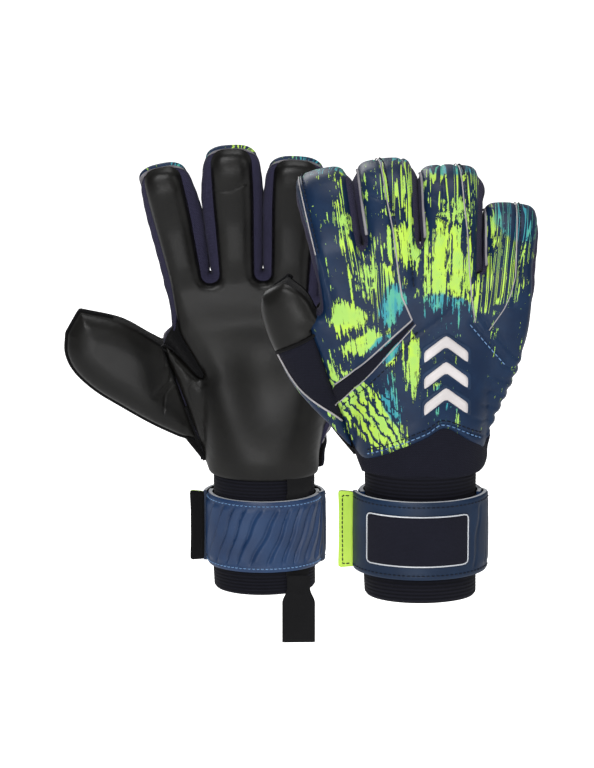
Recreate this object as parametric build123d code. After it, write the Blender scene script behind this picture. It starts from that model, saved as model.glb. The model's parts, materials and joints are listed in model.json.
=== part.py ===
from build123d import *
from math import cos, radians, sin, tan
import os

# A pair of goalkeeper gloves as they sit on two raised hands. Millimetres and degrees, +Z up the fingers.
# Each glove is drawn with its palm towards -Y, its thumb towards -X and the centre of its cuff opening at
# the origin. The right glove is then mirrored, so that its back faces -Y, and moved to its place.

# Cuff and wrist strap.
cuff_width = 62.0
cuff_depth = 50.0
cuff_height = 74.0
bandage_wall = 2.5
strap_base = 15.0
strap_height = 44.0
strap_wall = 3.2
flap_wall = 2.6
layer_clearance = 0.4
end_tab_reach = 8.0
end_tab_wall = 2.6
patch_left = -29.0
patch_right = 25.0
patch_margin = 8.0
patch_wall = 1.2
patch_clearance = 0.15
piping_width = 1.6
piping_wall = 1.8

# Palm and backhand.
heel_width = 66.0
knuckle_height = 190.0
knuckle_shift = 1.0
taper_drop = 32.0
palm_foam = 5.0
back_foam = 4.5
side_wall = 2.5
lining_wall = 1.2
lining_clearance = 0.3
side_low_rise = 31.0
side_low_reach = 8.0
side_high_drop = 50.0
side_high_inset = 4.0

# Fingers, from the thumb's side to the little finger.
finger_depth = 28.0
finger_gap = 2.4
tip_wall = 4.0
lower_length = 40.0
spine_width = 10.0
spine_wall = 1.6
spine_inset = 8.0
knuckle_clearance = 0.8
fingers = {
    "index": {"width": 26.0, "length": 80.0, "drop": 4.0},
    "middle": {"width": 28.0, "length": 86.0, "drop": 0.0},
    "ring": {"width": 30.0, "length": 82.0, "drop": 3.0},
    "pinky": {"width": 27.0, "length": 68.0, "drop": 19.0},
}

# Thumb.
thumb_length = 77.0
thumb_width = 40.0
thumb_root_low = 5.0
thumb_root_high = 34.0
thumb_crotch = 30.0
crotch_inset = 7.0
root_reach = 4.0

# Badge on the backhand and pull tab on the cuff.
badge_left = 1.0
badge_width = 24.0
badge_rise_over_cuff = 32.0
badge_rise = 9.0
badge_stroke = 7.0
badge_pitch = 14.0
badge_bars = 3
badge_wall = 1.2
tab_left = 14.0
tab_neck = 14.0
tab_width = 20.0
tab_length = 42.0
tab_drop = 3.0
tab_wall = 1.6

# How each hand is held.
gloves = {
    "left": {
        "place": (0.0, 0.0, 0.0),
        "mirrored": False,
        "splay": {"index": -12.0, "middle": -2.5, "ring": 3.0, "pinky": 11.0},
        "knuckle_flex": 4.0,
        "finger_bend": 10.0,
        "thumb_turn": 62.0,
        "thumb_fold": 5.0,
        "tab_lift": 0.0,
    },
    "right": {
        "place": (88.0, -210.0, 56.0),
        "mirrored": True,
        "splay": {"index": -14.0, "middle": -6.0, "ring": 0.0, "pinky": 4.0},
        "knuckle_flex": 34.0,
        "finger_bend": 50.0,
        "thumb_turn": 36.0,
        "thumb_fold": 35.0,
        "tab_lift": 70.0,
    },
}

far = 400.0
skin = finger_depth / 2
taper_end = knuckle_height - taper_drop
badge_base = cuff_height + badge_rise_over_cuff


def flat(points):
    return make_face(Polyline(*points, close=True))


# The prism of a face drawn on a plane, from one height above the plane to another.
def prism(face, plane, low, high):
    return extrude(plane * Pos(0, 0, low) * face, amount=high - low, dir=plane.z_dir)


# An upright prism through the whole depth of the hand, drawn as (x, z) points or a face.
front_plane = Plane(origin=(0, 0, 0), x_dir=(1, 0, 0), z_dir=(0, -1, 0))


def throughDepth(face):
    return prism(face, front_plane, -far / 2, far / 2)


# The slab between two depths under the palm's skin, which narrows from the cuff to the knuckles.
def depthBand(outer, inner):
    heel = cuff_depth / 2 - layer_clearance
    outline = flat([
        (outer - heel, cuff_height),
        (outer - skin, taper_end),
        (outer - skin, far),
        (inner - skin, far),
        (inner - skin, taper_end),
        (inner - heel, cuff_height),
    ])
    side_plane = Plane(origin=(0, 0, 0), x_dir=(0, 1, 0), z_dir=(1, 0, 0))
    return prism(outline, side_plane, -far / 2, far / 2)


# The same slab measured from the back of the hand.
def backBand(outer, inner):
    return mirror(depthBand(outer, inner), about=Plane.XZ)


# The closed space between the palm's slab and the back's slab, this much further in on both.
def middleBand(inset):
    heel = cuff_depth / 2 - layer_clearance
    front = palm_foam + inset
    back = back_foam + inset
    outline = flat([
        (front - heel, cuff_height),
        (front - skin, taper_end),
        (front - skin, far),
        (skin - back, far),
        (skin - back, taper_end),
        (heel - back, cuff_height),
    ])
    side_plane = Plane(origin=(0, 0, 0), x_dir=(0, 1, 0), z_dir=(1, 0, 0))
    return prism(outline, side_plane, -far / 2, far / 2)


def box(x, y, z):
    return Pos((x[0] + x[1]) / 2, (y[0] + y[1]) / 2, (z[0] + z[1]) / 2) * Box(
        x[1] - x[0], y[1] - y[0], z[1] - z[0])


# The middle of each finger's knuckle line on the palm, its lean and its half width.
def knuckles(pose):
    row = sum(finger["width"] for finger in fingers.values()) + finger_gap * (len(fingers) - 1)
    x = knuckle_shift - row / 2
    result = {}
    for name, finger in fingers.items():
        half = finger["width"] / 2
        lean = radians(pose["splay"][name])
        result[name] = {
            "centre": (x + half, knuckle_height - finger["drop"]),
            "lean": lean,
            "half": half,
            "across": (cos(lean), -sin(lean)),
            "along": (sin(lean), cos(lean)),
        }
        x += finger["width"] + finger_gap
    return result


def knuckleEnd(knuckle, side):
    reach = knuckle["half"] * side
    return (knuckle["centre"][0] + knuckle["across"][0] * reach,
            knuckle["centre"][1] + knuckle["across"][1] * reach)


# The line that the thumb folds about, from the heel of the hand up to the crotch of the thumb.
def thumbRoot(pose):
    index = knuckleEnd(knuckles(pose)["index"], -1)
    low = (-heel_width / 2 - thumb_root_low / 2, cuff_height + thumb_root_low)
    high = (index[0] - root_reach, knuckle_height - thumb_root_high)
    return low, high


def handOutline(pose):
    row = knuckles(pose)
    low, high = thumbRoot(pose)
    index = knuckleEnd(row["index"], -1)
    pinky = knuckleEnd(row["pinky"], 1)
    points = [(-heel_width / 2, cuff_height), low, high]
    points.append((index[0] + crotch_inset, knuckle_height - thumb_crotch))
    for knuckle in row.values():
        points += [knuckleEnd(knuckle, -1), knuckleEnd(knuckle, 1)]
    points.append((pinky[0] - side_high_inset, knuckle_height - side_high_drop))
    points.append((heel_width / 2 + side_low_reach, cuff_height + side_low_rise))
    points.append((heel_width / 2, cuff_height))
    return flat(points)


# The hand's outer edges alone, run on past the finger joints, and moved inwards by this much.
def insideEdges(pose, inset):
    row = knuckles(pose)
    low, high = thumbRoot(pose)
    index = knuckleEnd(row["index"], -1)
    pinky = knuckleEnd(row["pinky"], 1)
    face = flat([
        (-heel_width / 2, cuff_height),
        low,
        high,
        (index[0] + crotch_inset, knuckle_height - thumb_crotch),
        index,
        (index[0], knuckle_height + finger_depth),
        (pinky[0], knuckle_height + finger_depth),
        pinky,
        (pinky[0] - side_high_inset, knuckle_height - side_high_drop),
        (heel_width / 2 + side_low_reach, cuff_height + side_low_rise),
        (heel_width / 2, cuff_height),
    ])
    return offset(face, -inset, kind=Kind.INTERSECTION) if inset else face


# The side walls of the hand: the little finger's side and the short wall between index and thumb.
def sideWalls(pose, outer, inner, inset):
    row = knuckles(pose)
    index = knuckleEnd(row["index"], -1)
    pinky = knuckleEnd(row["pinky"], 1)
    ring = throughDepth(insideEdges(pose, outer)) - throughDepth(insideEdges(pose, inner))
    ring &= middleBand(inset)
    outer_side = box((heel_width / 2 - 3 * side_wall, far), (-far, far), (0, pinky[1] - side_wall))
    thumb_side = box((index[0] + inner, index[0] + 4 * side_wall), (-far, far),
                     (knuckle_height - thumb_crotch, index[1] - side_wall))
    thumb_side += box((-far, index[0] + inner), (-far, far),
                      (knuckle_height - thumb_crotch, index[1] - side_wall))
    return (ring & outer_side) + (ring & thumb_side)


def handParts(pose):
    outline = handOutline(pose)
    hand = throughDepth(outline)
    parts = {
        "palm_latex": hand & depthBand(0, palm_foam),
        "backhand_panel": hand & backBand(0, back_foam),
        "hand_gussets": sideWalls(pose, 0, side_wall, 0),
    }
    start = side_wall + lining_clearance
    lined = throughDepth(insideEdges(pose, start)) & throughDepth(Pos(0, -start) * outline)
    lining = lined & depthBand(palm_foam + lining_clearance, palm_foam + lining_clearance + lining_wall)
    lining += lined & backBand(back_foam + lining_clearance, back_foam + lining_clearance + lining_wall)
    lining += sideWalls(pose, start, start + lining_wall, lining_clearance)
    parts["hand_lining"] = lining
    parts["badge"] = throughDepth(badgeOutline()) & backBand(-badge_wall, 0)
    return parts


# A plain stack of raised chevrons.
def badgeOutline():
    middle = badge_left + badge_width / 2
    right = badge_left + badge_width
    mark = Sketch()
    for index in range(badge_bars):
        low = badge_base + index * badge_pitch
        mark += flat([
            (badge_left, low),
            (middle, low + badge_rise),
            (right, low),
            (right, low + badge_stroke),
            (middle, low + badge_rise + badge_stroke),
            (badge_left, low + badge_stroke),
        ])
    return mark


# One outline in the plane of a finger's depth and length: the layer between two depths under the palm's
# skin, from the knuckle past the bend to this far short of the tip.
def layerPoints(finger, pose, low, high, start, short):
    bend = radians(pose["finger_bend"])
    upper = finger["length"] - lower_length - short

    def at(depth, place):
        side = depth - skin
        if place == "base":
            return (depth, start)
        if place == "bend":
            return (depth, lower_length + side * tan(bend / 2))
        return (skin - upper * sin(bend) + side * cos(bend),
                lower_length + upper * cos(bend) + side * sin(bend))

    return [at(low, "base"), at(low, "bend"), at(low, "tip"),
            at(high, "tip"), at(high, "bend"), at(high, "base")]


def fingerParts(name, pose):
    finger = fingers[name]
    knuckle = knuckles(pose)[name]
    across = (knuckle["across"][0], 0, knuckle["across"][1])
    origin = (knuckle["centre"][0], -skin, knuckle["centre"][1])
    plane = Plane(origin=origin, x_dir=(0, 1, 0), z_dir=across)
    half = knuckle["half"]
    inner = finger_depth - back_foam

    def layer(low, high, start, short, left, right):
        face = flat(layerPoints(finger, pose, low, high, start, short))
        return prism(Rot(0, 0, pose["knuckle_flex"]) * face, plane, left, right)

    base = knuckle_clearance
    back = layer(palm_foam, finger_depth, base, 0, -half, half)
    back -= layer(palm_foam - 1, inner, -base, tip_wall, -half - 1, half + 1)
    gussets = layer(palm_foam, inner, base, tip_wall, -half, -half + side_wall)
    gussets += layer(palm_foam, inner, base, tip_wall, half - side_wall, half)
    spine = layer(inner - spine_wall, inner, base + spine_inset, tip_wall + spine_inset,
                  -spine_width / 2, spine_width / 2)
    return {
        name + "_latex": layer(0, palm_foam, base, 0, -half, half),
        name + "_back": back,
        name + "_gussets": gussets,
        name + "_spine": spine,
    }


def thumbParts(pose):
    low, high = thumbRoot(pose)
    length = ((high[0] - low[0]) ** 2 + (high[1] - low[1]) ** 2) ** 0.5
    up = ((high[0] - low[0]) / length, (high[1] - low[1]) / length)
    out = (-up[1], up[0])
    turn = radians(pose["thumb_turn"])
    along = (-sin(turn), cos(turn))
    side = (-cos(turn), -sin(turn))
    root = ((low[0] + high[0]) / 2, (low[1] + high[1]) / 2)

    def at(reach, offside):
        return (root[0] + along[0] * reach * thumb_length + side[0] * offside * thumb_width,
                root[1] + along[1] * reach * thumb_length + side[1] * offside * thumb_width)

    def beside(point):
        return (point[0] + out[0] * knuckle_clearance, point[1] + out[1] * knuckle_clearance)

    outline = flat([beside(low), at(0.35, 0.5), at(0.8, 0.5), at(1, 0.28),
                    at(1, -0.3), at(0.9, -0.48), beside(high)])
    rim = throughDepth(outline) - throughDepth(offset(outline, -side_wall, kind=Kind.INTERSECTION))
    root_plane = Plane(origin=(low[0], 0, low[1]), x_dir=(up[0], 0, up[1]), z_dir=(out[0], 0, out[1]))
    root_strip = prism(Rectangle(far, far), root_plane, -far, side_wall + knuckle_clearance)
    parts = {
        "thumb_latex": prism(outline, front_plane, skin - palm_foam, skin),
        "thumb_back": prism(outline, front_plane, -skin, back_foam - skin),
        "thumb_gusset": (rim & box((-far, far), (palm_foam - skin, skin - back_foam), (0, far))) - root_strip,
    }
    fold = Axis((low[0], -skin, low[1]), (up[0], 0, up[1]))
    return {name: part.rotate(fold, pose["thumb_fold"]) for name, part in parts.items()}


# The wall between two layers around the oval cuff, counted outwards from the bandage's outer face.
def ovalWall(inner, outer, low, height):
    ring = Ellipse(cuff_width / 2 + outer, cuff_depth / 2 + outer)
    ring -= Ellipse(cuff_width / 2 + inner, cuff_depth / 2 + inner)
    return prism(ring, Plane.XY, low, low + height)


def cuffParts():
    strap_inner = layer_clearance
    strap_outer = strap_inner + strap_wall
    flap_inner = strap_outer + layer_clearance
    flap_outer = flap_inner + flap_wall
    wrap_end = cuff_depth / 8
    wrap = ovalWall(strap_inner, strap_outer, strap_base, strap_height)
    wrap &= box((-far, far), (-far, wrap_end), (0, far))
    back_half = box((-far, far), (flap_wall / 2, far), (0, far))
    flap = ovalWall(flap_inner, flap_outer, strap_base, strap_height) & back_half
    outside = prism(Ellipse(cuff_width / 2 + flap_outer, cuff_depth / 2 + flap_outer), Plane.XY, 0, far)
    tab_end = -cuff_width / 2 - flap_outer
    end_tab = box((tab_end - end_tab_reach, tab_end + flap_wall),
                  (flap_wall / 2, flap_wall / 2 + end_tab_wall),
                  (strap_base, strap_base + strap_height)) - outside
    low = strap_base + patch_margin
    high = strap_base + strap_height - patch_margin
    window = box((patch_left, patch_right), (0, far), (low, high))
    border = box((patch_left - piping_width, patch_right + piping_width), (0, far),
                 (low - piping_width, high + piping_width))
    patch_inner = flap_outer + patch_clearance
    cover = ovalWall(patch_inner, patch_inner + patch_wall, 0, far)
    piping = ovalWall(patch_inner, patch_inner + piping_wall, 0, far)
    return {
        "wrist_bandage": ovalWall(-bandage_wall, 0, 0, cuff_height),
        "strap_wrap": wrap,
        "strap_flap": flap,
        "flap_patch": (cover & window) + ((piping & border) - window),
        "end_tab": end_tab,
    }


# The tab's top edge is the line it swings about, just clear of the bandage where that is deepest.
def tabTop():
    deep = cuff_depth / 2 * (1 - (tab_left / (cuff_width / 2)) ** 2) ** 0.5
    return (-deep - layer_clearance - tab_wall / 2, strap_base - tab_drop)


def pullTab(pose):
    y, z = tabTop()
    middle = tab_left + tab_neck / 2
    wide = tab_width / 2
    neck = tab_neck / 2
    bottom = z - tab_length
    outline = flat([(middle - neck, z), (middle + neck, z), (middle + neck, z - 10), (middle + wide, z - 18),
                    (middle + wide, bottom + 3), (middle + wide - 3, bottom), (middle - wide + 3, bottom),
                    (middle - wide, bottom + 3), (middle - wide, z - 18), (middle - neck, z - 10)])
    tab = prism(outline, front_plane, -y - tab_wall / 2, -y + tab_wall / 2)
    return tab.rotate(Axis((0, y, z), (1, 0, 0)), -pose["tab_lift"])


def gloveParts(pose):
    parts = handParts(pose)
    parts.update(cuffParts())
    for name in fingers:
        parts.update(fingerParts(name, pose))
    parts.update(thumbParts(pose))
    parts["pull_tab"] = pullTab(pose)
    return parts


def main():
    os.makedirs("parts", exist_ok=True)
    for side, pose in gloves.items():
        for name, part in gloveParts(pose).items():
            if pose["mirrored"]:
                part = mirror(part, about=Plane.XZ)
            export_step(Pos(*pose["place"]) * part, f"parts/{side}_{name}.step")


main()
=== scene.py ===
import bpy
import json
import math
import numpy as np
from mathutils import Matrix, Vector
from mathutils.geometry import delaunay_2d_cdt


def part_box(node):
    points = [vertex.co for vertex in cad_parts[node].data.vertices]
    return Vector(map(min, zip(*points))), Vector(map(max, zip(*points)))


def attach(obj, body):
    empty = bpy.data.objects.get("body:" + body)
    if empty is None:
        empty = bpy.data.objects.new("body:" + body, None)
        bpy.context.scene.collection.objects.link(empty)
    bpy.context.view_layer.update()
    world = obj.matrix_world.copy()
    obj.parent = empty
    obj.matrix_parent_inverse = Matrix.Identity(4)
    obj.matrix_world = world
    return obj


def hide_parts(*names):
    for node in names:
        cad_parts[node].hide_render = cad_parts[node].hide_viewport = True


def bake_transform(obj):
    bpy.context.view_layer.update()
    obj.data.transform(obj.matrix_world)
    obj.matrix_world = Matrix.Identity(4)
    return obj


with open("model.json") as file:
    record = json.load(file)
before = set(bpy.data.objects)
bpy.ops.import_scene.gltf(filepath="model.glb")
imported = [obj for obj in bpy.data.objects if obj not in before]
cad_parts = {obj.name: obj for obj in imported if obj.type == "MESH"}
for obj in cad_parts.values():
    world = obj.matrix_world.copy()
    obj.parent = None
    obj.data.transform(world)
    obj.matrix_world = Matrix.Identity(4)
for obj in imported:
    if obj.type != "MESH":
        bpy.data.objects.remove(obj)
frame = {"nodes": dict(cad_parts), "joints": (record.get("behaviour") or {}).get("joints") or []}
bpy.context.view_layer.update()
joints = {joint["name"]: joint for joint in frame["joints"]}
print("frame loaded:", len(frame["nodes"]), "nodes")

# Everything below is worked out in millimetres in one glove's own place: the thumb is towards -x, the palm
# faces -y and the cuff opening is centred on the origin. putMesh() moves it to the glove's real place.


class Value:  # a shader number that takes part in sums
    def __init__(self, graph, socket):
        self.graph, self.socket = graph, socket

    def maths(self, operation, a, b=None):
        return self.graph.number(operation, a, b)

    def __add__(self, other):
        return self.maths("ADD", self, other)

    def __radd__(self, other):
        return self.maths("ADD", other, self)

    def __sub__(self, other):
        return self.maths("SUBTRACT", self, other)

    def __rsub__(self, other):
        return self.maths("SUBTRACT", other, self)

    def __mul__(self, other):
        return self.maths("MULTIPLY", self, other)

    def __rmul__(self, other):
        return self.maths("MULTIPLY", other, self)

    def __truediv__(self, other):
        return self.maths("DIVIDE", self, other)


class Graph:
    def __init__(self, name):
        self.material = bpy.data.materials.new(name)
        self.material.use_nodes = True
        self.tree = self.material.node_tree
        self.shader = self.tree.nodes["Principled BSDF"]

    def node(self, kind, settings=None, **inputs):
        made = self.tree.nodes.new("ShaderNode" + kind)
        for key, value in (settings or {}).items():
            setattr(made, key, value)
        for key, value in inputs.items():
            name = key.replace("_", " ")
            socket = made.inputs[int(name[1:])] if name[0] == "i" and name[1:].isdigit() else made.inputs[name]
            self.feed(socket, value)
        return made

    def feed(self, socket, value):
        if isinstance(value, Value):
            value = value.socket
        if isinstance(value, bpy.types.NodeSocket):
            self.tree.links.new(value, socket)
        elif value is not None:
            if socket.type == "RGBA" and len(value) == 3:
                value = (*value, 1)
            socket.default_value = value

    def number(self, operation, a, b=None):
        made = self.node("Math", {"operation": operation}, i0=a, i1=b)
        return Value(self, made.outputs[0])

    def clamp(self, a):
        made = self.node("Math", {"operation": "MULTIPLY", "use_clamp": True}, i0=a, i1=1.0)
        return Value(self, made.outputs[0])

    def ease(self, a, low, high):
        made = self.node("MapRange", {"interpolation_type": "SMOOTHSTEP"},
                         i0=a, i1=low, i2=high, i3=0.0, i4=1.0)
        return Value(self, made.outputs[0])

    def place(self, scale=(1, 1, 1), turn=(0, 0, 0), layer=None):
        if layer:
            source = self.node("UVMap", {"uv_map": layer}).outputs[0]
        else:
            source = self.node("TexCoord").outputs["Object"]
        made = self.node("Mapping", None, Vector=source, Scale=scale, Rotation=turn)
        return made.outputs[0]

    def split(self, vector):
        made = self.node("SeparateXYZ", None, i0=vector)
        return [Value(self, made.outputs[i]) for i in range(3)]

    def join(self, x, y, z=0.0):
        return self.node("CombineXYZ", None, i0=x, i1=y, i2=z).outputs[0]

    def noise(self, vector, scale, detail=3.0, roughness=0.5, distortion=0.0):
        made = self.node("TexNoise", None, Vector=vector, Scale=scale, Detail=detail, Roughness=roughness,
                         Distortion=distortion)
        return Value(self, made.outputs[0])

    def wave(self, vector, scale, profile="SIN", direction="X", distortion=0.0):
        made = self.node("TexWave", {"wave_profile": profile, "bands_direction": direction}, Vector=vector,
                         Scale=scale, Distortion=distortion)
        return Value(self, made.outputs[1])

    def blend(self, share, a, b):
        made = self.node("Mix", {"data_type": "RGBA"}, i0=share, i6=a, i7=b)
        return made.outputs[2]

    def bump(self, height, strength, distance, under=None):
        made = self.node("Bump", None, Height=height, Strength=strength, Distance=distance)
        if under is not None:
            self.feed(made.inputs["Normal"], under)
        return made.outputs[0]

    def finish(self, color=None, roughness=None, normal=None, **fixed):
        for name, value in (("Base Color", color), ("Roughness", roughness), ("Normal", normal)):
            if value is not None:
                self.feed(self.shader.inputs[name], value)
        for name, value in fixed.items():
            self.feed(self.shader.inputs[name.replace("_", " ")], value)
        return self.material


paint = {
    "lime": (0.43, 0.66, 0.072),
    "limeDeep": (0.34, 0.62, 0.09),
    "teal": (0.035, 0.27, 0.33),
    "green": (0.10, 0.42, 0.27),
    "navy": (0.0026, 0.0130, 0.0410),
    "navyLight": (0.0050, 0.0215, 0.0600),
    "ink": (0.0012, 0.0028, 0.0075),
}


# Matt black foam with a fine skin.
def palmMaterial():
    g = Graph("palmLatex")
    spot = g.place()
    fine = g.noise(spot, 2600, 2.0)
    mottle = g.noise(spot, 38, 4.0)
    worn = g.noise(spot, 160, 5.0, 0.65)
    color = g.blend(g.ease(mottle, 0.35, 0.7), (0.0024, 0.0023, 0.0021), (0.0050, 0.0047, 0.0040))
    normal = g.bump(fine, 0.12, 0.0003)
    normal = g.bump(worn, 0.08, 0.0012, normal)
    return g.finish(color, 0.29 + mottle * 0.12 + fine * 0.05, normal, Specular_IOR_Level=0.24)


def knitMaterial(name, dark, light, scale, strength=0.6):
    g = Graph(name)
    spot = g.place()
    across = g.wave(spot, scale, direction="X")
    upward = g.wave(spot, scale * 0.8, direction="Z")
    slant = g.wave(g.place(turn=(0, 0.7, 0)), scale * 0.9, direction="X")
    weave = across * 0.4 + upward * 0.6 + slant * 0.5
    fuzz = g.noise(spot, 1400, 3.0, 0.6)
    mottle = g.noise(spot, 60, 3.0)
    color = g.blend(g.clamp(weave * 0.45 + fuzz * 0.35 + mottle * 0.25 - 0.1), dark, light)
    normal = g.bump(weave, strength, 0.0004)
    normal = g.bump(fuzz, 0.25, 0.0005, normal)
    return g.finish(color, 0.82 + fuzz * 0.12, normal, Sheen_Weight=0.03, Sheen_Roughness=0.5,
                    Specular_IOR_Level=0.10)


def elasticMaterial():
    g = Graph("ribbedElastic")
    spot = g.place()
    rib = g.wave(spot, 150, direction="Z")
    thread = g.wave(spot, 700, direction="X")
    fuzz = g.noise(spot, 900, 3.0, 0.6)
    color = g.blend(g.clamp(rib * 0.6 + fuzz * 0.35), (0.0020, 0.0020, 0.0034), (0.0085, 0.0088, 0.0150))
    normal = g.bump(rib + thread * 0.25, 0.5, 0.0004)
    normal = g.bump(fuzz, 0.25, 0.0004, normal)
    return g.finish(color, 0.86, normal, Sheen_Weight=0.03, Specular_IOR_Level=0.10)


def rubberMaterial(name, dark, light, rough=0.42, shine=0.2, grain=2200):
    g = Graph(name)
    spot = g.place()
    mottle = g.noise(spot, 45, 4.0)
    fine = g.noise(spot, grain, 2.0)
    scuff = g.noise(g.place(scale=(1, 1, 0.2)), 420, 4.0, 0.7)
    color = g.blend(g.ease(mottle, 0.3, 0.72), dark, light)
    color = g.blend(g.ease(scuff, 0.66, 0.82) * 0.35, color, light)
    normal = g.bump(fine, 0.10, 0.0003)
    return g.finish(color, rough + mottle * 0.1 + scuff * 0.06, normal, Specular_IOR_Level=shine)


# Printed foam: brush strokes that fan up the fingers, over navy, with a fine diagonal screen inside the ink.
def printMaterial():
    g = Graph("printedBack")
    spot = g.place(layer="flat")
    u, v, _ = g.split(spot)                      # 1 unit is 100 mm
    u, v = u * 100.0, v * 100.0
    reach = g.number("SQRT", (u - 2.0) * (u - 2.0) + (v + 150.0) * (v + 150.0))
    angle = g.number("ARCTAN2", u - 2.0, v + 150.0)
    strokes = g.join(angle * 330.0, reach, 0.0)  # roughly millimetres across and along a stroke

    def brushed(across, along, detail, roughness):
        stretched = g.node("Mapping", None, Vector=strokes, Scale=(across, along, 1)).outputs[0]
        return g.noise(stretched, 1.0, detail, roughness)

    wobble = g.noise(spot, 14.0, 3.0)
    streakWide = brushed(0.21, 0.011, 3.0, 0.6)
    streakFine = brushed(0.62, 0.022, 3.0, 0.7)
    ragged = brushed(0.55, 0.16, 4.0, 0.7)
    blotch = g.noise(spot, 5.5, 4.0, 0.6)
    splatter = g.noise(spot, 42.0, 2.0, 0.5)

    def patch(x, z, wide, tall, lean=0.0):       # a soft island of ink
        across = (u - x) - (v - z) * lean
        upward = v - z
        far = g.number("SQRT", across * across / (wide * wide) + upward * upward / (tall * tall))
        return g.ease(far, 1.35, 0.35)

    def most(*values):
        result = values[0]
        for value in values[1:]:
            result = g.number("MAXIMUM", result, value)
        return result

    islands = most(
        patch(-39, 192, 6, 30, -0.10),           # strokes up the index
        patch(-30, 184, 5, 24, -0.10),
        patch(-40, 159, 14, 14, -0.1),
        patch(-12, 192, 15, 12, 0.0),            # the middle finger's root and strokes
        patch(-6, 216, 7, 24, -0.25),
        patch(13, 186, 16, 27, 0.0),             # over the knuckles
        patch(29, 182, 6, 24, 0.0),
        patch(18, 210, 13, 10, 0.0),             # ring finger
        patch(38, 196, 8, 7, 0.0),
        patch(-31, 145, 11, 9, 0.9),             # either side of the band
        patch(-18, 139, 9, 10, 0.5),
        patch(-5, 134, 5, 21, 0.0),
        patch(-18, 120, 4.5, 17, -0.3),
        patch(12, 117, 6, 13, -0.6),
        patch(-16, 165, 7, 13, 0.2),
        patch(-44, 272, 10, 9, 0.0),             # fingertips
        patch(-3, 283, 10, 9, 0.0),
        patch(33, 277, 10, 9, 0.0),
    )
    solidInk = most(
        patch(13, 182, 15, 24, 0.0),
        patch(-31, 145, 11, 8, 0.9),
        patch(-40, 158, 10, 11, 0.0),
        patch(-8, 196, 10, 9, 0.0),
        patch(-16, 165, 6, 11, 0.2),
        patch(-17, 139, 8, 8, 0.5),
        patch(-5, 136, 4, 17, 0.0),
    )
    corner = patch(-31, 105, 21, 26, -0.62)
    hair = most(                                  # where single bristles left their mark
        patch(-38, 206, 11, 34, -0.1),
        patch(-12, 226, 15, 36, -0.2),
        patch(16, 234, 20, 36, 0.0),
        patch(50, 206, 17, 36, 0.2),
        patch(40, 176, 20, 18, 0.9),
        patch(-20, 172, 14, 22, 0.0),
        patch(-50, 240, 16, 18, 0.0),
        patch(-46, 272, 15, 14, 0.0),            # over the fingertips
        patch(-6, 282, 17, 14, 0.0),
        patch(30, 276, 17, 14, 0.0),
    )
    ink = islands * 0.40 + solidInk * 0.42 + corner * 1.0 \
        + (streakFine - 0.5) * 2.3 + (streakWide - 0.5) * 1.1 \
        + (ragged - 0.5) * 2.0 + (blotch - 0.5) * 1.6 + 0.05
    slope = u * 0.8 + v * 0.6 + (wobble - 0.5) * 9.0 + (ragged - 0.5) * 5.0
    wave = g.wave(g.join(slope * 0.066, 0.0, 0.0), 1.0, direction="X")
    ink = ink - corner * g.ease(wave, 0.66, 0.95) * 1.3
    bristle = brushed(0.26, 0.012, 1.0, 0.4)
    hairline = g.ease(g.number("ABSOLUTE", bristle - 0.5), 0.030, 0.012)
    for level in (0.40, 0.60):
        hairline = hairline + g.ease(g.number("ABSOLUTE", bristle - level), 0.024, 0.010)
    hairline = hairline * g.ease(hair + (ragged - 0.5) * 2.4 + (blotch - 0.5) * 1.6, 0.56, 0.68)
    ink = g.number("MAXIMUM", ink, hairline * 0.7)
    solid = g.ease(ink, 0.585, 0.61)
    halo = g.ease(ink, 0.515, 0.54)               # the dark line round each stroke
    drops = g.ease(splatter + islands * 0.06, 0.735, 0.75) * g.ease(blotch, 0.45, 0.6)
    tealShare = most(
        patch(12, 160, 18, 14, 0.0),
        patch(-16, 165, 9, 15, 0.2),
        patch(-20, 141, 10, 12, 0.6),
        patch(-18, 118, 7, 20, -0.3),
        patch(12, 112, 9, 13, 0.0),
        patch(18, 244, 20, 22, 0.0),
        patch(54, 214, 16, 26, 0.1),
        patch(-18, 250, 16, 14, 0.0),
        patch(-54, 240, 18, 16, 0.0),
        patch(-46, 273, 20, 12, 0.0),
        patch(30, 278, 15, 12, 0.0),
    )
    tealShare = g.ease(tealShare + (blotch - 0.5) * 1.2, 0.38, 0.62)
    greenShare = g.ease(blotch + (streakWide - 0.5) * 0.8, 0.50, 0.64)
    inkColor = g.blend(greenShare * 0.55, paint["lime"], paint["limeDeep"])
    cool = g.blend(greenShare, paint["teal"], paint["green"])
    inkColor = g.blend(tealShare, inkColor, cool)
    screen = g.wave(g.node("Mapping", None, Vector=spot, Rotation=(0, 0, 0.7)).outputs[0], 36.0, direction="X")
    inkColor = g.blend(g.ease(screen, 0.62, 0.9) * g.ease(blotch, 0.42, 0.55) * 0.4, inkColor, paint["teal"])
    ground = g.blend(g.ease(blotch, 0.3, 0.75), paint["navy"], paint["navyLight"])
    color = g.blend(halo, ground, paint["ink"])
    color = g.blend(solid, color, inkColor)
    color = g.blend(drops * 0.9, color, inkColor)
    fine = g.noise(g.place(), 2400, 2.0)
    normal = g.bump(solid, 0.10, 0.0004)
    normal = g.bump(fine, 0.10, 0.0003, normal)
    return g.finish(color, 0.36 + fine * 0.10 + solid * 0.06, normal, Specular_IOR_Level=0.2)


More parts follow.
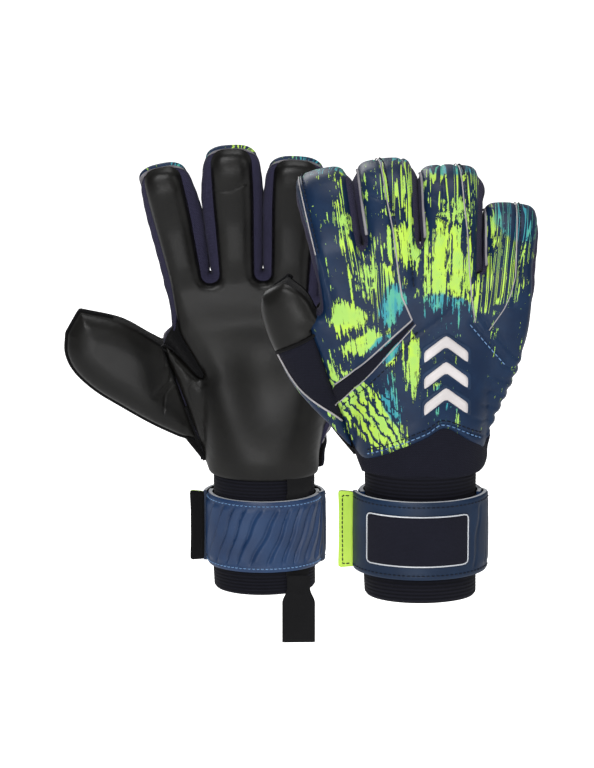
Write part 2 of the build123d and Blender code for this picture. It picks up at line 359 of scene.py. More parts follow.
materials = {
    "palm": palmMaterial(),
    "print": printMaterial(),
    "gusset": knitMaterial("gussetKnit", (0.0095, 0.0090, 0.0200), (0.042, 0.039, 0.080), 420),
    "yoke": knitMaterial("yokeKnit", (0.0028, 0.0028, 0.0052), (0.0115, 0.0120, 0.0215), 420, 0.4),
    "elastic": elasticMaterial(),
    "lining": knitMaterial("liningKnit", (0.006, 0.006, 0.007), (0.020, 0.020, 0.023), 500, 0.4),
    "strap": rubberMaterial("strapBlue", (0.0045, 0.023, 0.076), (0.0080, 0.036, 0.108), 0.36, 0.4),
    "flap": rubberMaterial("flapNavy", (0.0024, 0.0120, 0.0350), (0.0042, 0.0190, 0.0520), 0.38, 0.25),
    "patch": knitMaterial("patchLoop", (0.0030, 0.0031, 0.0060), (0.0130, 0.0135, 0.0240), 560, 0.5),
    "lime": rubberMaterial("limeRubber", (0.38, 0.60, 0.065), (0.46, 0.68, 0.085), 0.45),
    "hook": knitMaterial("hookTape", (0.0020, 0.0020, 0.0024), (0.0085, 0.0085, 0.0095), 700, 0.9),
    "edge": rubberMaterial("cutFoam", (0.20, 0.19, 0.21), (0.30, 0.29, 0.31), 0.7),
    "whiteEdge": rubberMaterial("edgeTape", (0.46, 0.48, 0.52), (0.62, 0.64, 0.67), 0.6),
    "silver": rubberMaterial("silverPiping", (0.26, 0.25, 0.26), (0.38, 0.36, 0.37), 0.4, 0.5),
    "badge": rubberMaterial("badgeSilver", (0.50, 0.47, 0.47), (0.62, 0.59, 0.59), 0.34, 0.5),
    "badgeBed": rubberMaterial("badgeBed", (0.008, 0.020, 0.050), (0.012, 0.032, 0.075), 0.4),
    "tape": knitMaterial("bindingTape", (0.0022, 0.0022, 0.0026), (0.0080, 0.0080, 0.0088), 800, 0.5),
    "webbing": knitMaterial("pullTabTape", (0.0030, 0.0030, 0.0034), (0.0110, 0.0110, 0.0120), 620, 0.35),
    "spine": rubberMaterial("spinePlastic", (0.02, 0.02, 0.022), (0.03, 0.03, 0.032), 0.35),
    "threadBlue": rubberMaterial("threadBlue", (0.10, 0.20, 0.38), (0.16, 0.28, 0.48), 0.6),
    "threadDark": rubberMaterial("threadDark", (0.004, 0.006, 0.012), (0.008, 0.012, 0.022), 0.6),
}
print("materials made:", len(materials))


def smooth(t):
    t = np.clip(t, 0, 1)
    return t * t * (3 - 2 * t)


def lerp(a, b, t):
    return a + (b - a) * t


# Points evenly spaced along a line, ends kept.
def evenly(line, step):
    line = np.asarray(line, float)
    steps = np.diff(line, axis=0)
    runs = np.hypot(*steps.T) if line.shape[1] == 2 else np.linalg.norm(steps, axis=1)
    far = np.concatenate([[0], np.cumsum(runs)])
    count = max(2, int(round(far[-1] / step)) + 1)
    at = np.linspace(0, far[-1], count)
    return np.column_stack([np.interp(at, far, line[:, i]) for i in range(line.shape[1])])


# A smooth line through a few points.
def through(points, per=12):
    p = np.asarray(points, float)
    p = np.vstack([2 * p[0] - p[1], p, 2 * p[-1] - p[-2]])
    out = []
    for i in range(1, len(p) - 2):
        for t in np.linspace(0, 1, per, endpoint=False):
            a, b, c, d = p[i - 1], p[i], p[i + 1], p[i + 2]
            square, cube = 2 * a - 5 * b + 4 * c - d, 3 * b - a - 3 * c + d
            out.append(0.5 * (2 * b + (c - a) * t + square * t * t + cube * t ** 3))
    out.append(p[-2])
    return np.array(out)


def inside(points, ring):
    x, y = points[:, 0][:, None], points[:, 1][:, None]
    a, b = ring, np.roll(ring, -1, axis=0)
    hit = ((a[:, 1] > y) != (b[:, 1] > y)) & (
        x < (b[:, 0] - a[:, 0]) * (y - a[:, 1])
        / np.where(b[:, 1] == a[:, 1], 1e-9, b[:, 1] - a[:, 1]) + a[:, 0])
    return hit.sum(axis=1) % 2 == 1


# How far each point is from a line, closed unless it is said to be open.
def away(points, line, closed=True):
    a = np.asarray(line, float)
    b = np.roll(a, -1, axis=0)
    if not closed:
        a, b = a[:-1], b[:-1]
    best = np.full(len(points), 1e9)
    run = b - a
    size = (run ** 2).sum(axis=1) + 1e-12
    for start in range(0, len(points), 1500):
        p = points[start:start + 1500]
        rel = p[:, None, :] - a[None]
        t = np.clip((rel * run).sum(axis=2) / size, 0, 1)
        gap = rel - t[:, :, None] * run
        best[start:start + 1500] = np.sqrt((gap ** 2).sum(axis=2)).min(axis=1)
    return best


def beside(line, gap):
    line = np.asarray(line, float)
    along = np.gradient(line, axis=0)
    along /= np.linalg.norm(along, axis=1)[:, None] + 1e-9
    return line + np.column_stack([along[:, 1], -along[:, 0]]) * gap


def closedEvenly(points, step):
    points = np.asarray(points, float)
    return evenly(np.vstack([points, points[:1]]), step)[:-1]


def anticlockwise(ring):
    x, y = ring[:, 0], ring[:, 1]
    return ring if (x * np.roll(y, -1) - y * np.roll(x, -1)).sum() >= 0 else ring[::-1]


# Triangles that fill an outline, dense by its edge and along the given lines, cut cleanly along the cuts.
def fillOutline(ring, cuts=(), lines=(), spacing=2.2, rings=(0.35, 1.0, 2.0, 3.4)):
    ring = closedEvenly(ring, 1.7)
    along = np.roll(ring, -1, axis=0) - np.roll(ring, 1, axis=0)
    along /= np.linalg.norm(along, axis=1)[:, None] + 1e-9
    inward = np.column_stack([-along[:, 1], along[:, 0]])   # the ring runs anticlockwise
    keep = []
    for gap in rings:
        spots = ring + inward * gap
        near = away(spots, ring)
        keep.append(spots[(near > gap * 0.93) & inside(spots, ring)])
    for line, width in lines:
        line = evenly(line, 1.5)
        for share in (-1.0, -0.5, 0.0, 0.5, 1.0):
            spots = beside(line, width * share)
            keep.append(spots[inside(spots, ring) & (away(spots, ring) > 0.8)])
    low, high = ring.min(axis=0), ring.max(axis=0)
    rows = np.arange(low[1], high[1], spacing * 0.866)
    grid = np.array([(x + (i % 2) * spacing / 2, y) for i, y in enumerate(rows)
                     for x in np.arange(low[0], high[0], spacing)])
    grid = grid[inside(grid, ring)]
    grid = grid[away(grid, ring) > rings[-1] + spacing * 0.5]
    for line, width in lines:
        grid = grid[away(grid, line, closed=False) > width + spacing * 0.35]
    points = [ring]
    count = len(ring)
    edges = [(i, (i + 1) % count) for i in range(count)]
    for cut in cuts:
        cut = evenly(cut, 1.7)
        edges += [(count + i, count + i + 1) for i in range(len(cut) - 1)]
        points.append(cut)
        count += len(cut)
    fixed = np.vstack(points)
    loose = np.vstack(keep + [grid])
    order = np.lexsort((np.round(loose[:, 1], 3), np.round(loose[:, 0], 3)))
    loose = loose[order]
    taken = {}
    chosen = []
    for x, y in np.vstack([fixed, loose]):                  # drop points that crowd each other
        cell = (int(x // 0.55), int(y // 0.55))
        crowd = any((x - a) ** 2 + (y - b) ** 2 < 0.3 for i in (-1, 0, 1) for j in (-1, 0, 1)
                    for a, b in taken.get((cell[0] + i, cell[1] + j), ()))
        first = len(chosen) < len(fixed)
        if first or not crowd:
            taken.setdefault(cell, []).append((x, y))
            chosen.append((x, y))
    made = delaunay_2d_cdt([Vector(p) for p in chosen], edges, [], 0, 1e-5)
    spots = np.array([tuple(p) for p in made[0]])
    faces = np.array([f for f in made[2] if len(f) == 3])
    middle = spots[faces].mean(axis=1)
    faces = faces[inside(middle, ring)]
    a, b, c = spots[faces[:, 0]], spots[faces[:, 1]], spots[faces[:, 2]]
    turn = (b[:, 0] - a[:, 0]) * (c[:, 1] - a[:, 1]) - (b[:, 1] - a[:, 1]) * (c[:, 0] - a[:, 0])
    faces = faces[np.abs(turn) > 1e-6]
    turn = turn[np.abs(turn) > 1e-6]
    faces[turn < 0] = faces[turn < 0][:, ::-1]
    return spots, faces, away(spots, ring)


def pointNormals(points, faces):
    normal = np.zeros_like(points)
    for face in (faces[:, :3],) if faces.shape[1] == 3 else (faces[:, [0, 1, 2]], faces[:, [0, 2, 3]]):
        a, b, c = (points[face[:, i]] for i in range(3))
        size = np.cross(b - a, c - a)
        for i in range(3):
            np.add.at(normal, face[:, i], size)
    return normal / (np.linalg.norm(normal, axis=1)[:, None] + 1e-12)


class Glove:
    def __init__(self, side):
        self.side = side
        self.mirrored = side == "right"
        low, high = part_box(side + "_wrist_bandage")
        self.place = np.array([(low[0] + high[0]) / 2, (low[1] + high[1]) / 2, low[2]]) * 1000

    def world(self, points):
        points = np.array(points, float).reshape(-1, 3)
        if self.mirrored:
            points = points * (1, -1, 1)
        return (points + self.place) / 1000

    # The place and lean of a joint's axis in the glove's own flat (x, z) view.
    def hinge(self, name):
        joint = joints[self.side + "_" + name]
        spot = np.array(joint["pos_m"]) * 1000 - self.place
        axis = np.array([joint["axis"][0], joint["axis"][2]]) * (-1 if self.mirrored else 1)
        return spot[[0, 2]], axis, math.radians(-joint["range_deg"][0])


# A mesh from local points. normals, when given, are one per corner, so that two pieces meet with no line.
def putMesh(glove, name, points, faces, material, flat=None, normals=None, slots=None):
    if isinstance(faces, np.ndarray):
        faces = faces.tolist()
    if glove.mirrored:
        faces = [face[::-1] for face in faces]
    mesh = bpy.data.meshes.new(glove.side + "_" + name)
    mesh.from_pydata([tuple(p) for p in glove.world(points)], [], faces)
    shades = material if isinstance(material, (list, tuple)) else [material]
    for shade in shades:
        mesh.materials.append(materials[shade])
    if slots is not None:
        mesh.polygons.foreach_set("material_index", np.asarray(slots, dtype=np.int32))
    mesh.polygons.foreach_set("use_smooth", [True] * len(mesh.polygons))
    corner = np.zeros(len(mesh.loops), dtype=np.int32)
    mesh.loops.foreach_get("vertex_index", corner)
    if flat is not None:
        layer = mesh.uv_layers.new(name="flat")
        layer.data.foreach_set("uv", (np.asarray(flat, float)[corner] / 100).astype(np.float32).ravel())
    if normals is not None:
        normals = [n[::-1] for n in normals] if glove.mirrored else normals
        pointing = np.array([c for n in normals for c in n], float)
        if glove.mirrored:
            pointing *= (1, -1, 1)
        mesh.normals_split_custom_set([tuple(n) for n in pointing])
    made = bpy.data.objects.new(glove.side + "_" + name, mesh)
    bpy.context.scene.collection.objects.link(made)
    return made


# A sheet with thickness: its outer faces, the same faces moved inwards, and a cut edge along the true rim only.
def thicken(points, faces, thickness, rim, flat, normal=None):
    count = len(points)
    normal = pointNormals(points, faces) if normal is None else normal
    inner = points - normal * (thickness[:, None] if isinstance(thickness, np.ndarray) else thickness)
    solid = np.vstack([points, inner])
    outer = [list(f) for f in faces]
    under = [[v + count for v in f[::-1]] for f in outer]
    edge = [[b, a, a + count, b + count] for a, b in rim]
    normals = [[normal[v] for v in f] for f in outer] + [[-normal[v - count] for v in f] for f in under]
    for f in edge:
        a, b, c = (solid[f[i]] for i in range(3))
        face = np.cross(b - a, c - a)
        face /= np.linalg.norm(face) + 1e-12
        normals.append([face] * 4)
    slots = [0] * len(outer) + [2] * len(under) + [1] * len(edge)
    return solid, outer + under + edge, normals, slots, np.vstack([flat, flat])


def rimEdges(faces):
    seen = {}
    for f in faces:
        for i in range(len(f)):
            a, b = int(f[i]), int(f[(i + 1) % len(f)])
            seen[(a, b)] = seen.get((a, b), 0) + 1
    return [(a, b) for a, b in seen if (b, a) not in seen]


hand = {
    "skin": 14.0,          # palm skin and back skin are this far from the middle
    "cutLift": 4.5,        # finger pieces start this far above their knuckle line
    "bend": {"left": 10.0, "right": 56.0},
    "bendAt": {"left": 40.0, "right": 29.5},
    "short": {"left": 0.0, "right": 12.0},
}
fingers = {
    "index": {"half": 13.0, "length": 80.0},
    "middle": {"half": 14.0, "length": 86.0},
    "ring": {"half": 15.0, "length": 82.0},
    "pinky": {"half": 13.5, "length": 68.0, "low": 4.0},
}
thumb = {
    "turn": {"left": 62.0, "right": 36.0},
    "outer": {"left": [(-20, 19.5), (-8, 21.5), (12, 21.5), (32, 20.5), (50, 19), (66, 14.5), (76, 7),
                       (81.5, -4)],
              "right": [(9, 15.5), (28, 13.5), (44, 10.5), (56, 5.5), (63.5, -2)]},
    "inner": {"left": [(81.0, -19.5), (55, -26), (33, -24.5), (19, -24)],
              "right": [(63, -14.5), (50, -18.5), (36, -17), (20, -17.5)]},
    "low": (-35.5, 79.0),
    "high": (-60.5, 152.0),
}


class Fold:  # carries flat places on to a finger or thumb that curls towards the palm
    def __init__(self, centre, across, bends):
        self.centre, self.across = np.array(centre), np.array(across)
        self.along = np.array([-across[1], across[0]])
        self.s = np.arange(-60, 140, 0.25)
        self.lean = sum(angle * smooth((self.s - start) / run) for start, run, angle in bends)
        step = np.column_stack([-np.sin(self.lean), np.cos(self.lean)]) * 0.25
        path = np.cumsum(step, axis=0)
        zero = np.searchsorted(self.s, 0)
        self.path = path - path[zero] + (hand["skin"], 0)

    def flat(self, uv):
        rel = np.asarray(uv, float) - self.centre
        return rel @ self.across, rel @ self.along

    def unflat(self, w, s):
        return self.centre + np.outer(w, self.across) + np.outer(s, self.along)

    def put(self, uv, depth):
        w, s = self.flat(uv)
        lean = np.interp(s, self.s, self.lean)
        deep = np.interp(s, self.s, self.path[:, 0]) + (depth - hand["skin"]) * np.cos(lean)
        high = np.interp(s, self.s, self.path[:, 1]) + (depth - hand["skin"]) * np.sin(lean)
        flat = self.centre + np.outer(w, self.across) + np.outer(high, self.along)
        return np.column_stack([flat[:, 0], deep - hand["skin"], flat[:, 1]])


def planGlove(glove):
    glove.fold = {}
    for name, finger in fingers.items():
        centre, across, flex = glove.hinge(name + "_knuckle")
        bend = math.radians(hand["bend"][glove.side])
        corner = hand["skin"] * math.tan(flex / 2)
        first = max(12.0, 22 * flex)
        second = max(16.0, 24 * bend)
        middle = hand["bendAt"][glove.side] + 2 * corner - (finger.get("low", 0) if glove.mirrored else 0)
        glove.fold[name] = Fold(centre, across, [(min(0.0, corner - first / 2), first, flex),
                                                 (middle - second / 2, second, bend)])
        glove.fold[name].reach = finger["length"] + 2 * corner - hand["short"][glove.side]
    centre, across, flex = glove.hinge("thumb_root")
    glove.fold["thumb"] = Fold(centre, across, [(0.0, max(12.0, 24 * flex), flex)])
    glove.fold["thumb"].reach = 85.0


# Which finger, if any, each flat place belongs to, and how far up it.
def whose(glove, uv):
    owner = np.full(len(uv), -1)
    best = np.full(len(uv), 1e9)
    for i, name in enumerate(fingers):
        w, s = glove.fold[name].flat(uv)
        closer = (s > 0) & (np.abs(w) < best) & (np.abs(w) < fingers[name]["half"] + 4)
        owner[closer] = i
        best[closer] = np.abs(w)[closer]
    return owner


def putHand(glove, uv, depth, owner=None):
    owner = whose(glove, uv) if owner is None else owner
    out = np.column_stack([uv[:, 0], depth - hand["skin"], uv[:, 1]])
    for i, name in enumerate(fingers):
        mine = owner == i
        if mine.any():
            out[mine] = glove.fold[name].put(uv[mine], depth[mine])
    return out


def fingerSide(glove, name, sign, face):
    fold, finger = glove.fold[name], fingers[name]
    cap = 12.0
    top = fold.reach - cap - {"palm": 0.8, "wall": 2.4, "back": 3.4}[face]
    base, wide = {"palm": (-3.4, -1.7), "wall": (-0.9, 0.5), "back": (-1.2, 1.1)}[face]
    base, wide = finger["half"] + base, finger["half"] + wide
    s = np.linspace(2, top, 24)
    w = lerp(base, wide, smooth((s - 4) / (top - 14)))
    turn = np.linspace(0, math.pi / 2, 14)[1:]
    tipW = wide * np.cos(turn) ** (2 / 2.9)
    tipS = top + cap * np.sin(turn) ** (2 / 2.9)
    return fold.unflat(sign * np.concatenate([w, tipW]), np.concatenate([s, tipS]))


# Anticlockwise outline of the palm or the back, fingers included.
def handRing(glove, face):
    names = list(fingers)
    inset = {"palm": 3.4, "wall": 0.9, "back": 1.2}[face]
    rise = {"palm": 5.0, "wall": 7.6, "back": 7.0}[face]
    line = []
    for i, name in enumerate(names):
        left = fingerSide(glove, name, -1, face)
        right = fingerSide(glove, name, 1, face)[::-1]
        if i == 0:
            start = 0
        else:
            previous = names[i - 1]
            bottom = min(glove.fold[previous].centre[1], glove.fold[name].centre[1]) + rise
            a = glove.fold[previous]
            b = glove.fold[name]
            halfA, halfB = fingers[previous]["half"] - inset, fingers[name]["half"] - inset
            lift = {"palm": 4.8, "wall": 2.0, "back": 2.4}[face]
            sa = (bottom + lift - a.centre[1] - a.across[1] * halfA) / a.along[1]
            sb = (bottom + lift - b.centre[1] + b.across[1] * halfB) / b.along[1]
            p = a.unflat([halfA], [sa])[0]
            q = b.unflat([-halfB], [sb])[0]
            while len(line) and line[-1][1] < p[1] + 0.5:
                line.pop()
            middle, reach = (p + q) / 2, (q - p) / 2
            down = np.array([reach[1], -reach[0]])
            down = down / np.linalg.norm(down) * np.linalg.norm(reach)
            for turn in np.linspace(math.pi, 2 * math.pi, 13):
                line.append(middle + reach * math.cos(turn) - down * math.sin(turn))
            start = np.argmax(left[:, 1] > q[1] + 0.5)
        line += list(left[start:])
        line += list(right[1:])
    while line[-1][1] < glove.fold["pinky"].centre[1] + 6:
        line.pop()
    while line[0][1] < glove.fold["index"].centre[1] + 4:
        line.pop(0)
    tuck = 2.5 if face == "palm" else 0.0
    ulnar = [(59.5 - tuck, 166), (56.5 - tuck, 144), (47 - tuck, 118), (38.5 - tuck, 98), (34 - tuck * 0.3, 84)]
    ulnar = through([line[-1]] + ulnar, 10)[1:]
    if face == "wall":
        first = [(-33.0, 74.6), (-40, 92), (-46, 108), (-54, 132), (-60, 151), (-58, 158), (-55, 164)]
        first = through(first + [line[0]], 8)[:-1]
        return evenly(np.vstack([first, line, ulnar, [(31.6, 74.6)]]), 1.5)[::-1]
    if face == "back":                                   # scalloped along the little finger's side
        ulnar = evenly(ulnar, 1.0)
        shape = smooth((140 - ulnar[:, 1]) / 10) * smooth((ulnar[:, 1] - 84) / 5)
        bulge = np.abs(np.sin(np.arange(len(ulnar)) / 7.8 * math.pi)) ** 0.6 * 2.0 * shape
        ulnar = ulnar - inwardOf(ulnar, False) * -bulge[:, None]
    line += list(ulnar)
    if face == "palm":
        heel = through([(33.2, 78), (31, 73.2), (16, 71.8), (0, 71.4), (-16, 71.8), (-31, 73.2),
                        (-34.6, 78)], 8)
        rest = [(-36, 81), (-44.5, 106), (-53.5, 131), (-59.5, 149), (-58.5, 152.5), (-50, 144),
                (-39.5, 133.0), (-36.6, 132), (-37.6, 135.5), (-44, 147), (-50.5, 159), (-52.0, 166)]
    else:
        heel = [(33, 86), (24.5, 91), (12.7, 97.5), (3, 93), (-10.5, 87.5), (-21, 83), (-31, 79.5), (-36, 83)]
        heel = through(heel, 8)
        rest = [(-40, 92), (-46, 108), (-54, 132), (-61, 152), (-58, 158), (-54, 163)]
    line += list(heel)
    line += list(through([heel[-1]] + rest + [line[0]], 8)[1:-1])
    return closedEvenly(line, 1.2)[::-1]


def thumbRing(glove):
    turn = math.radians(thumb["turn"][glove.side])
    along = np.array([-math.sin(turn), math.cos(turn)])
    side = np.array([-math.cos(turn), -math.sin(turn)])
    root = glove.fold["thumb"].centre

    def at(spot):
        return root + along * spot[0] + side * spot[1]

    outer = [thumb["low"]] + [at(p) for p in thumb["outer"][glove.side]]
    inner = [at(p) for p in thumb["inner"][glove.side]] + [thumb["high"]]
    line = np.vstack([through(outer, 10), through(inner, 10)])
    root = through([thumb["high"], (-52.5, 128), (-44, 103), thumb["low"]], 6)[1:-1]
    ring = np.vstack([line, root])
    return anticlockwise(closedEvenly(ring, 1.2))


def rollEdge(gap, run, drop):
    t = np.clip(1 - gap / run, 0, 1)
    return drop * (1 - np.sqrt(np.clip(1 - t * t, 0, 1)))


# How deep the palm's and the back's surfaces lie under the palm's flat plane.
def heelShape(uv):
    u, v = uv.T
    oval = 26.4 * np.sqrt(np.clip(1 - (u / 36.5) ** 2, 0.02, 1))
    return lerp(oval, hand["skin"], smooth((v - 76) / 84))


def mound(uv, x, z, wide, tall):
    return np.exp(-(((uv[:, 0] - x) / wide) ** 2 + ((uv[:, 1] - z) / tall) ** 2))


def groove(uv, line, width):
    gap = away(uv, np.asarray(line, float), closed=False)
    return np.exp(-(gap / width) ** 2)


# The ball of the thumb, the little finger's side, the hollow and the pads: height, x, z and half sizes.
palmMounds = [(3.8, -27, 106, 19, 30), (2.8, 25, 108, 16, 34), (-3.0, -3, 134, 19, 28), (1.4, 2, 168, 34, 10)]


def palmDepth(glove, uv, gap, owner):
    depth = hand["skin"] - heelShape(uv)
    fleshy = 1 - smooth((uv[:, 1] - 160) / 25)
    for high, *place in palmMounds:
        depth -= fleshy * high * mound(uv, *place)
    depth -= 1.3 * smooth(gap / 13) * fleshy
    for i, name in enumerate(fingers):
        w, s = glove.fold[name].flat(uv)
        mine = owner == i
        wide = fingers[name]["half"]
        reach = glove.fold[name].reach
        crown = 1.8 * (1 - np.clip(np.abs(w) / wide, 0, 1) ** 2) * smooth(s / 18)
        tip = 2.6 * smooth((s - reach + 20) / 20) ** 2
        pad = 0.9 * np.exp(-((s - reach + 15) / 9) ** 2)
        depth = np.where(mine, depth - crown - pad + tip + 1.0 * s / reach, depth)
    return depth + rollEdge(gap, 5.6, 5.4)


def backDepth(glove, uv, gap, owner):
    depth = hand["skin"] + heelShape(uv)
    depth += 1.6 * smooth(gap / 13) * (1 - smooth((uv[:, 1] - 165) / 25))
    for i, name in enumerate(fingers):
        w, s = glove.fold[name].flat(uv)
        mine = owner == i
        reach = glove.fold[name].reach
        crown = 1.6 * (1 - np.clip(np.abs(w) / fingers[name]["half"], 0, 1) ** 2) * smooth(s / 18)
        tip = 5.0 * smooth((s - reach + 26) / 26) ** 2
        depth = np.where(mine, depth + crown - tip - 3.0 * s / reach, depth)
    return depth - rollEdge(gap, 5.2, 4.8)


def fingerCut(glove, name, lift):
    half = fingers[name]["half"] + 1.2
    return glove.fold[name].unflat([-half, half], [lift, lift])


# Which piece each face belongs to: the hand or a finger past its cut.
def splitFaces(glove, uv, faces):
    middle = uv[faces].mean(axis=1)
    part = np.full(len(faces), -1)
    for i, name in enumerate(fingers):
        w, s = glove.fold[name].flat(middle)
        part[(s > hand["cutLift"]) & (np.abs(w) < fingers[name]["half"] + 3.5)] = i
    return part


def joinFinger(glove, piece, name):
    fold = glove.fold[name]
    start, end = hand["cutLift"] + 1.0, hand["cutLift"] + 17.0
    if name == "thumb":
        start, end = 1.5, 20.0
        body = "thumb"
    else:
        body = name + "_finger"
    points = glove.world(fold.put(fold.unflat([0, 0], [start, end]), np.array([14.0, 14.0])))
    glove.side + "_" + body
    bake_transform(piece)
    return piece


def joinHand(glove, piece, body="hand"):
    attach(piece, glove.side + "_" + body)
    return piece


def joinBody(glove, piece, body):
    return joinFinger(glove, piece, body) if body in fingers else joinHand(glove, piece)


# The faces that one body carries, given thickness; only the sheet's true rim gets an edge.
def cutOut(points, faces, normal, uv, rim, thickness):
    used, compact = np.unique(faces, return_inverse=True)
    compact = compact.reshape(faces.shape)
    back = {int(v): k for k, v in enumerate(used)}
    edges = [(back[a], back[b]) for a, b in rimEdges(faces) if (a, b) in rim]
    return thicken(points[used], compact, thickness, edges, uv[used], normal[used])


# Cuts one big sheet into the hand's piece and the fingers' pieces, which share their points at the cuts.
def sheetPieces(glove, title, uv, faces, depth, owner, thickness, shades, outward, nodes):
    points = putHand(glove, uv, depth, owner)
    if not outward:
        faces = faces[:, ::-1]
    normal = pointNormals(points, faces)
    part = splitFaces(glove, uv, faces)
    rim = set(rimEdges(faces))
    for i, name in enumerate([*fingers, "hand"]):
        mine = faces[part == (i if name != "hand" else -1)]
        solid, faceList, normals, slots, flat = cutOut(points, mine, normal, uv, rim, thickness)
        piece = putMesh(glove, name + "_" + title, solid, faceList, shades, flat, normals, slots)
        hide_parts(*[glove.side + "_" + node for node in nodes(name)])
        joinBody(glove, piece, name)


def gridFaces(rows, columns, closed=False):
    last = columns if closed else columns - 1
    return np.array([[i * columns + j, i * columns + (j + 1) % columns, (i + 1) * columns + (j + 1) % columns,
                      (i + 1) * columns + j] for i in range(rows - 1) for j in range(last)])


# Turns a wall's faces over when the one at the given place looks inwards.
def faceOutwards(points, faces, inward, at=0):
    a, b, d = (points[faces[at, i]] for i in (0, 1, 3))
    return faces[:, ::-1] if np.cross(b - a, d - a)[[0, 2]] @ inward[at] > 0 else faces


def inwardOf(line, closed=True):
    along = np.roll(line, -1, axis=0) - np.roll(line, 1, axis=0)
    if not closed:
        along = np.gradient(line, axis=0)
    along /= np.linalg.norm(along, axis=1)[:, None] + 1e-9
    return np.column_stack([-along[:, 1], along[:, 0]])


# A round tube through local points, with closed ends.
def tubeMesh(points, radius, sides=7, closed=False, squash=None, normal=None):
    points = np.asarray(points, float)
    along = np.roll(points, -1, axis=0) - np.roll(points, 1, axis=0) if closed else np.gradient(points, axis=0)
    along /= np.linalg.norm(along, axis=1)[:, None] + 1e-12
    up = np.tile((0.0, 1.0, 0.0), (len(points), 1)) if normal is None else normal
    sideways = np.cross(along, up)
    sideways /= np.linalg.norm(sideways, axis=1)[:, None] + 1e-12
    up = np.cross(sideways, along)
    turn = np.arange(sides) * 2 * math.pi / sides
    flatten = 1.0 if squash is None else squash
    ring = [points + radius * (math.cos(t) * sideways + flatten * math.sin(t) * up) for t in turn]
    cloud = np.stack(ring, axis=1).reshape(-1, 3)
    count = len(points)
    faces = []
    for i in range(count if closed else count - 1):
        for j in range(sides):
            a, b = i * sides + j, i * sides + (j + 1) % sides
            c, d = ((i + 1) % count) * sides + (j + 1) % sides, ((i + 1) % count) * sides + j
            faces.append([a, d, c, b])
    if not closed:
        faces.append(list(range(sides)))
        faces.append([(count - 1) * sides + j for j in range(sides)][::-1])
    return cloud, faces


# Small thread ends sunk in a surface, as one mesh.
def stitchMesh(path, normal, pitch=3.0, length=1.9, radius=0.34, lift=0.1):
    path = np.asarray(path, float)
    far = np.concatenate([[0], np.cumsum(np.linalg.norm(np.diff(path, axis=0), axis=1))])
    clouds, faces, count = [], [], 0
    for at in np.arange(pitch * 0.5, far[-1] - length * 0.5, pitch):
        spots = np.linspace(at - length / 2, at + length / 2, 5)
        line = np.column_stack([np.interp(spots, far, path[:, i]) for i in range(3)])
        up = np.column_stack([np.interp(spots, far, normal[:, i]) for i in range(3)])
        up /= np.linalg.norm(up, axis=1)[:, None]
        arch = np.array([-1.2, 0.4, 1.0, 0.4, -1.2])[:, None] * radius * 0.8
        cloud, part = tubeMesh(line + up * (lift + arch), radius, 5, normal=up)
        clouds.append(cloud)
        faces += [[v + count for v in f] for f in part]
        count += len(cloud)
    return np.vstack(clouds), faces


def wholeSurface(points, faces):  # turns a closed mesh the right way out
    total = 0.0
    for f in faces:
        a = points[f[0]]
        for i in range(1, len(f) - 1):
            total += np.dot(a, np.cross(points[f[i]], points[f[i + 1]]))
    return faces if total > 0 else [f[::-1] for f in faces]


def putWhole(glove, title, cloud, faces, shade):
    return putMesh(glove, title, cloud, wholeSurface(cloud, faces), shade)


# Two matching grids of points, closed round their rim.
def closedGrid(outer, inner, rows, columns, closed=False):
    faces = gridFaces(rows, columns, closed)
    half = rows * columns
    rim = [[q, p, p + half, q + half] for p, q in rimEdges(faces)]
    return np.vstack([outer, inner]), faces.tolist() + (faces[:, ::-1] + half).tolist() + rim


# A plate that lies on the hand, its outside towards the back or towards the palm.
def handPlate(glove, title, uv, faces, depth, thick, shades, back=True):
    faces = faces[:, ::-1] if back else faces
    points = np.column_stack([uv[:, 0], depth - hand["skin"], uv[:, 1]])
    solid, faceList, normals, slots, flat = thicken(points, faces, thick, rimEdges(faces), uv)
    piece = putMesh(glove, title, solid, faceList, shades, flat, normals, slots if len(shades) > 1 else None)
    return joinHand(glove, piece)


def backPoint(glove, uv):
    uv = np.asarray(uv, float)
    ring = glove.backRing
    owner = whose(glove, uv)
    return backDepth(glove, uv, away(uv, ring), owner), owner


# A line laid on the back of the glove, with the surface's own direction at each point.
def onBack(glove, line, lift=0.0, step=1.5):
    line = evenly(line, step)
    depth, owner = backPoint(glove, line)
    here = putHand(glove, line, depth, owner)
    out = putHand(glove, line, depth + 1.0, owner) - here
    out /= np.linalg.norm(out, axis=1)[:, None]
    return here + out * lift, out, line


backLines = {
    "band": [(-46, 112), (-33, 124), (-20, 137.5), (-4.6, 155.8)],
    "ulnarBand": [(29, 158), (39, 146), (50, 133)],
    "chevron": [(-9, 91), (12.7, 101.5), (32, 92)],
}


def alongFinger(glove, name, places):
    fold = glove.fold[name]
    w, s = np.array(places, float).T
    return fold.unflat(w, s)


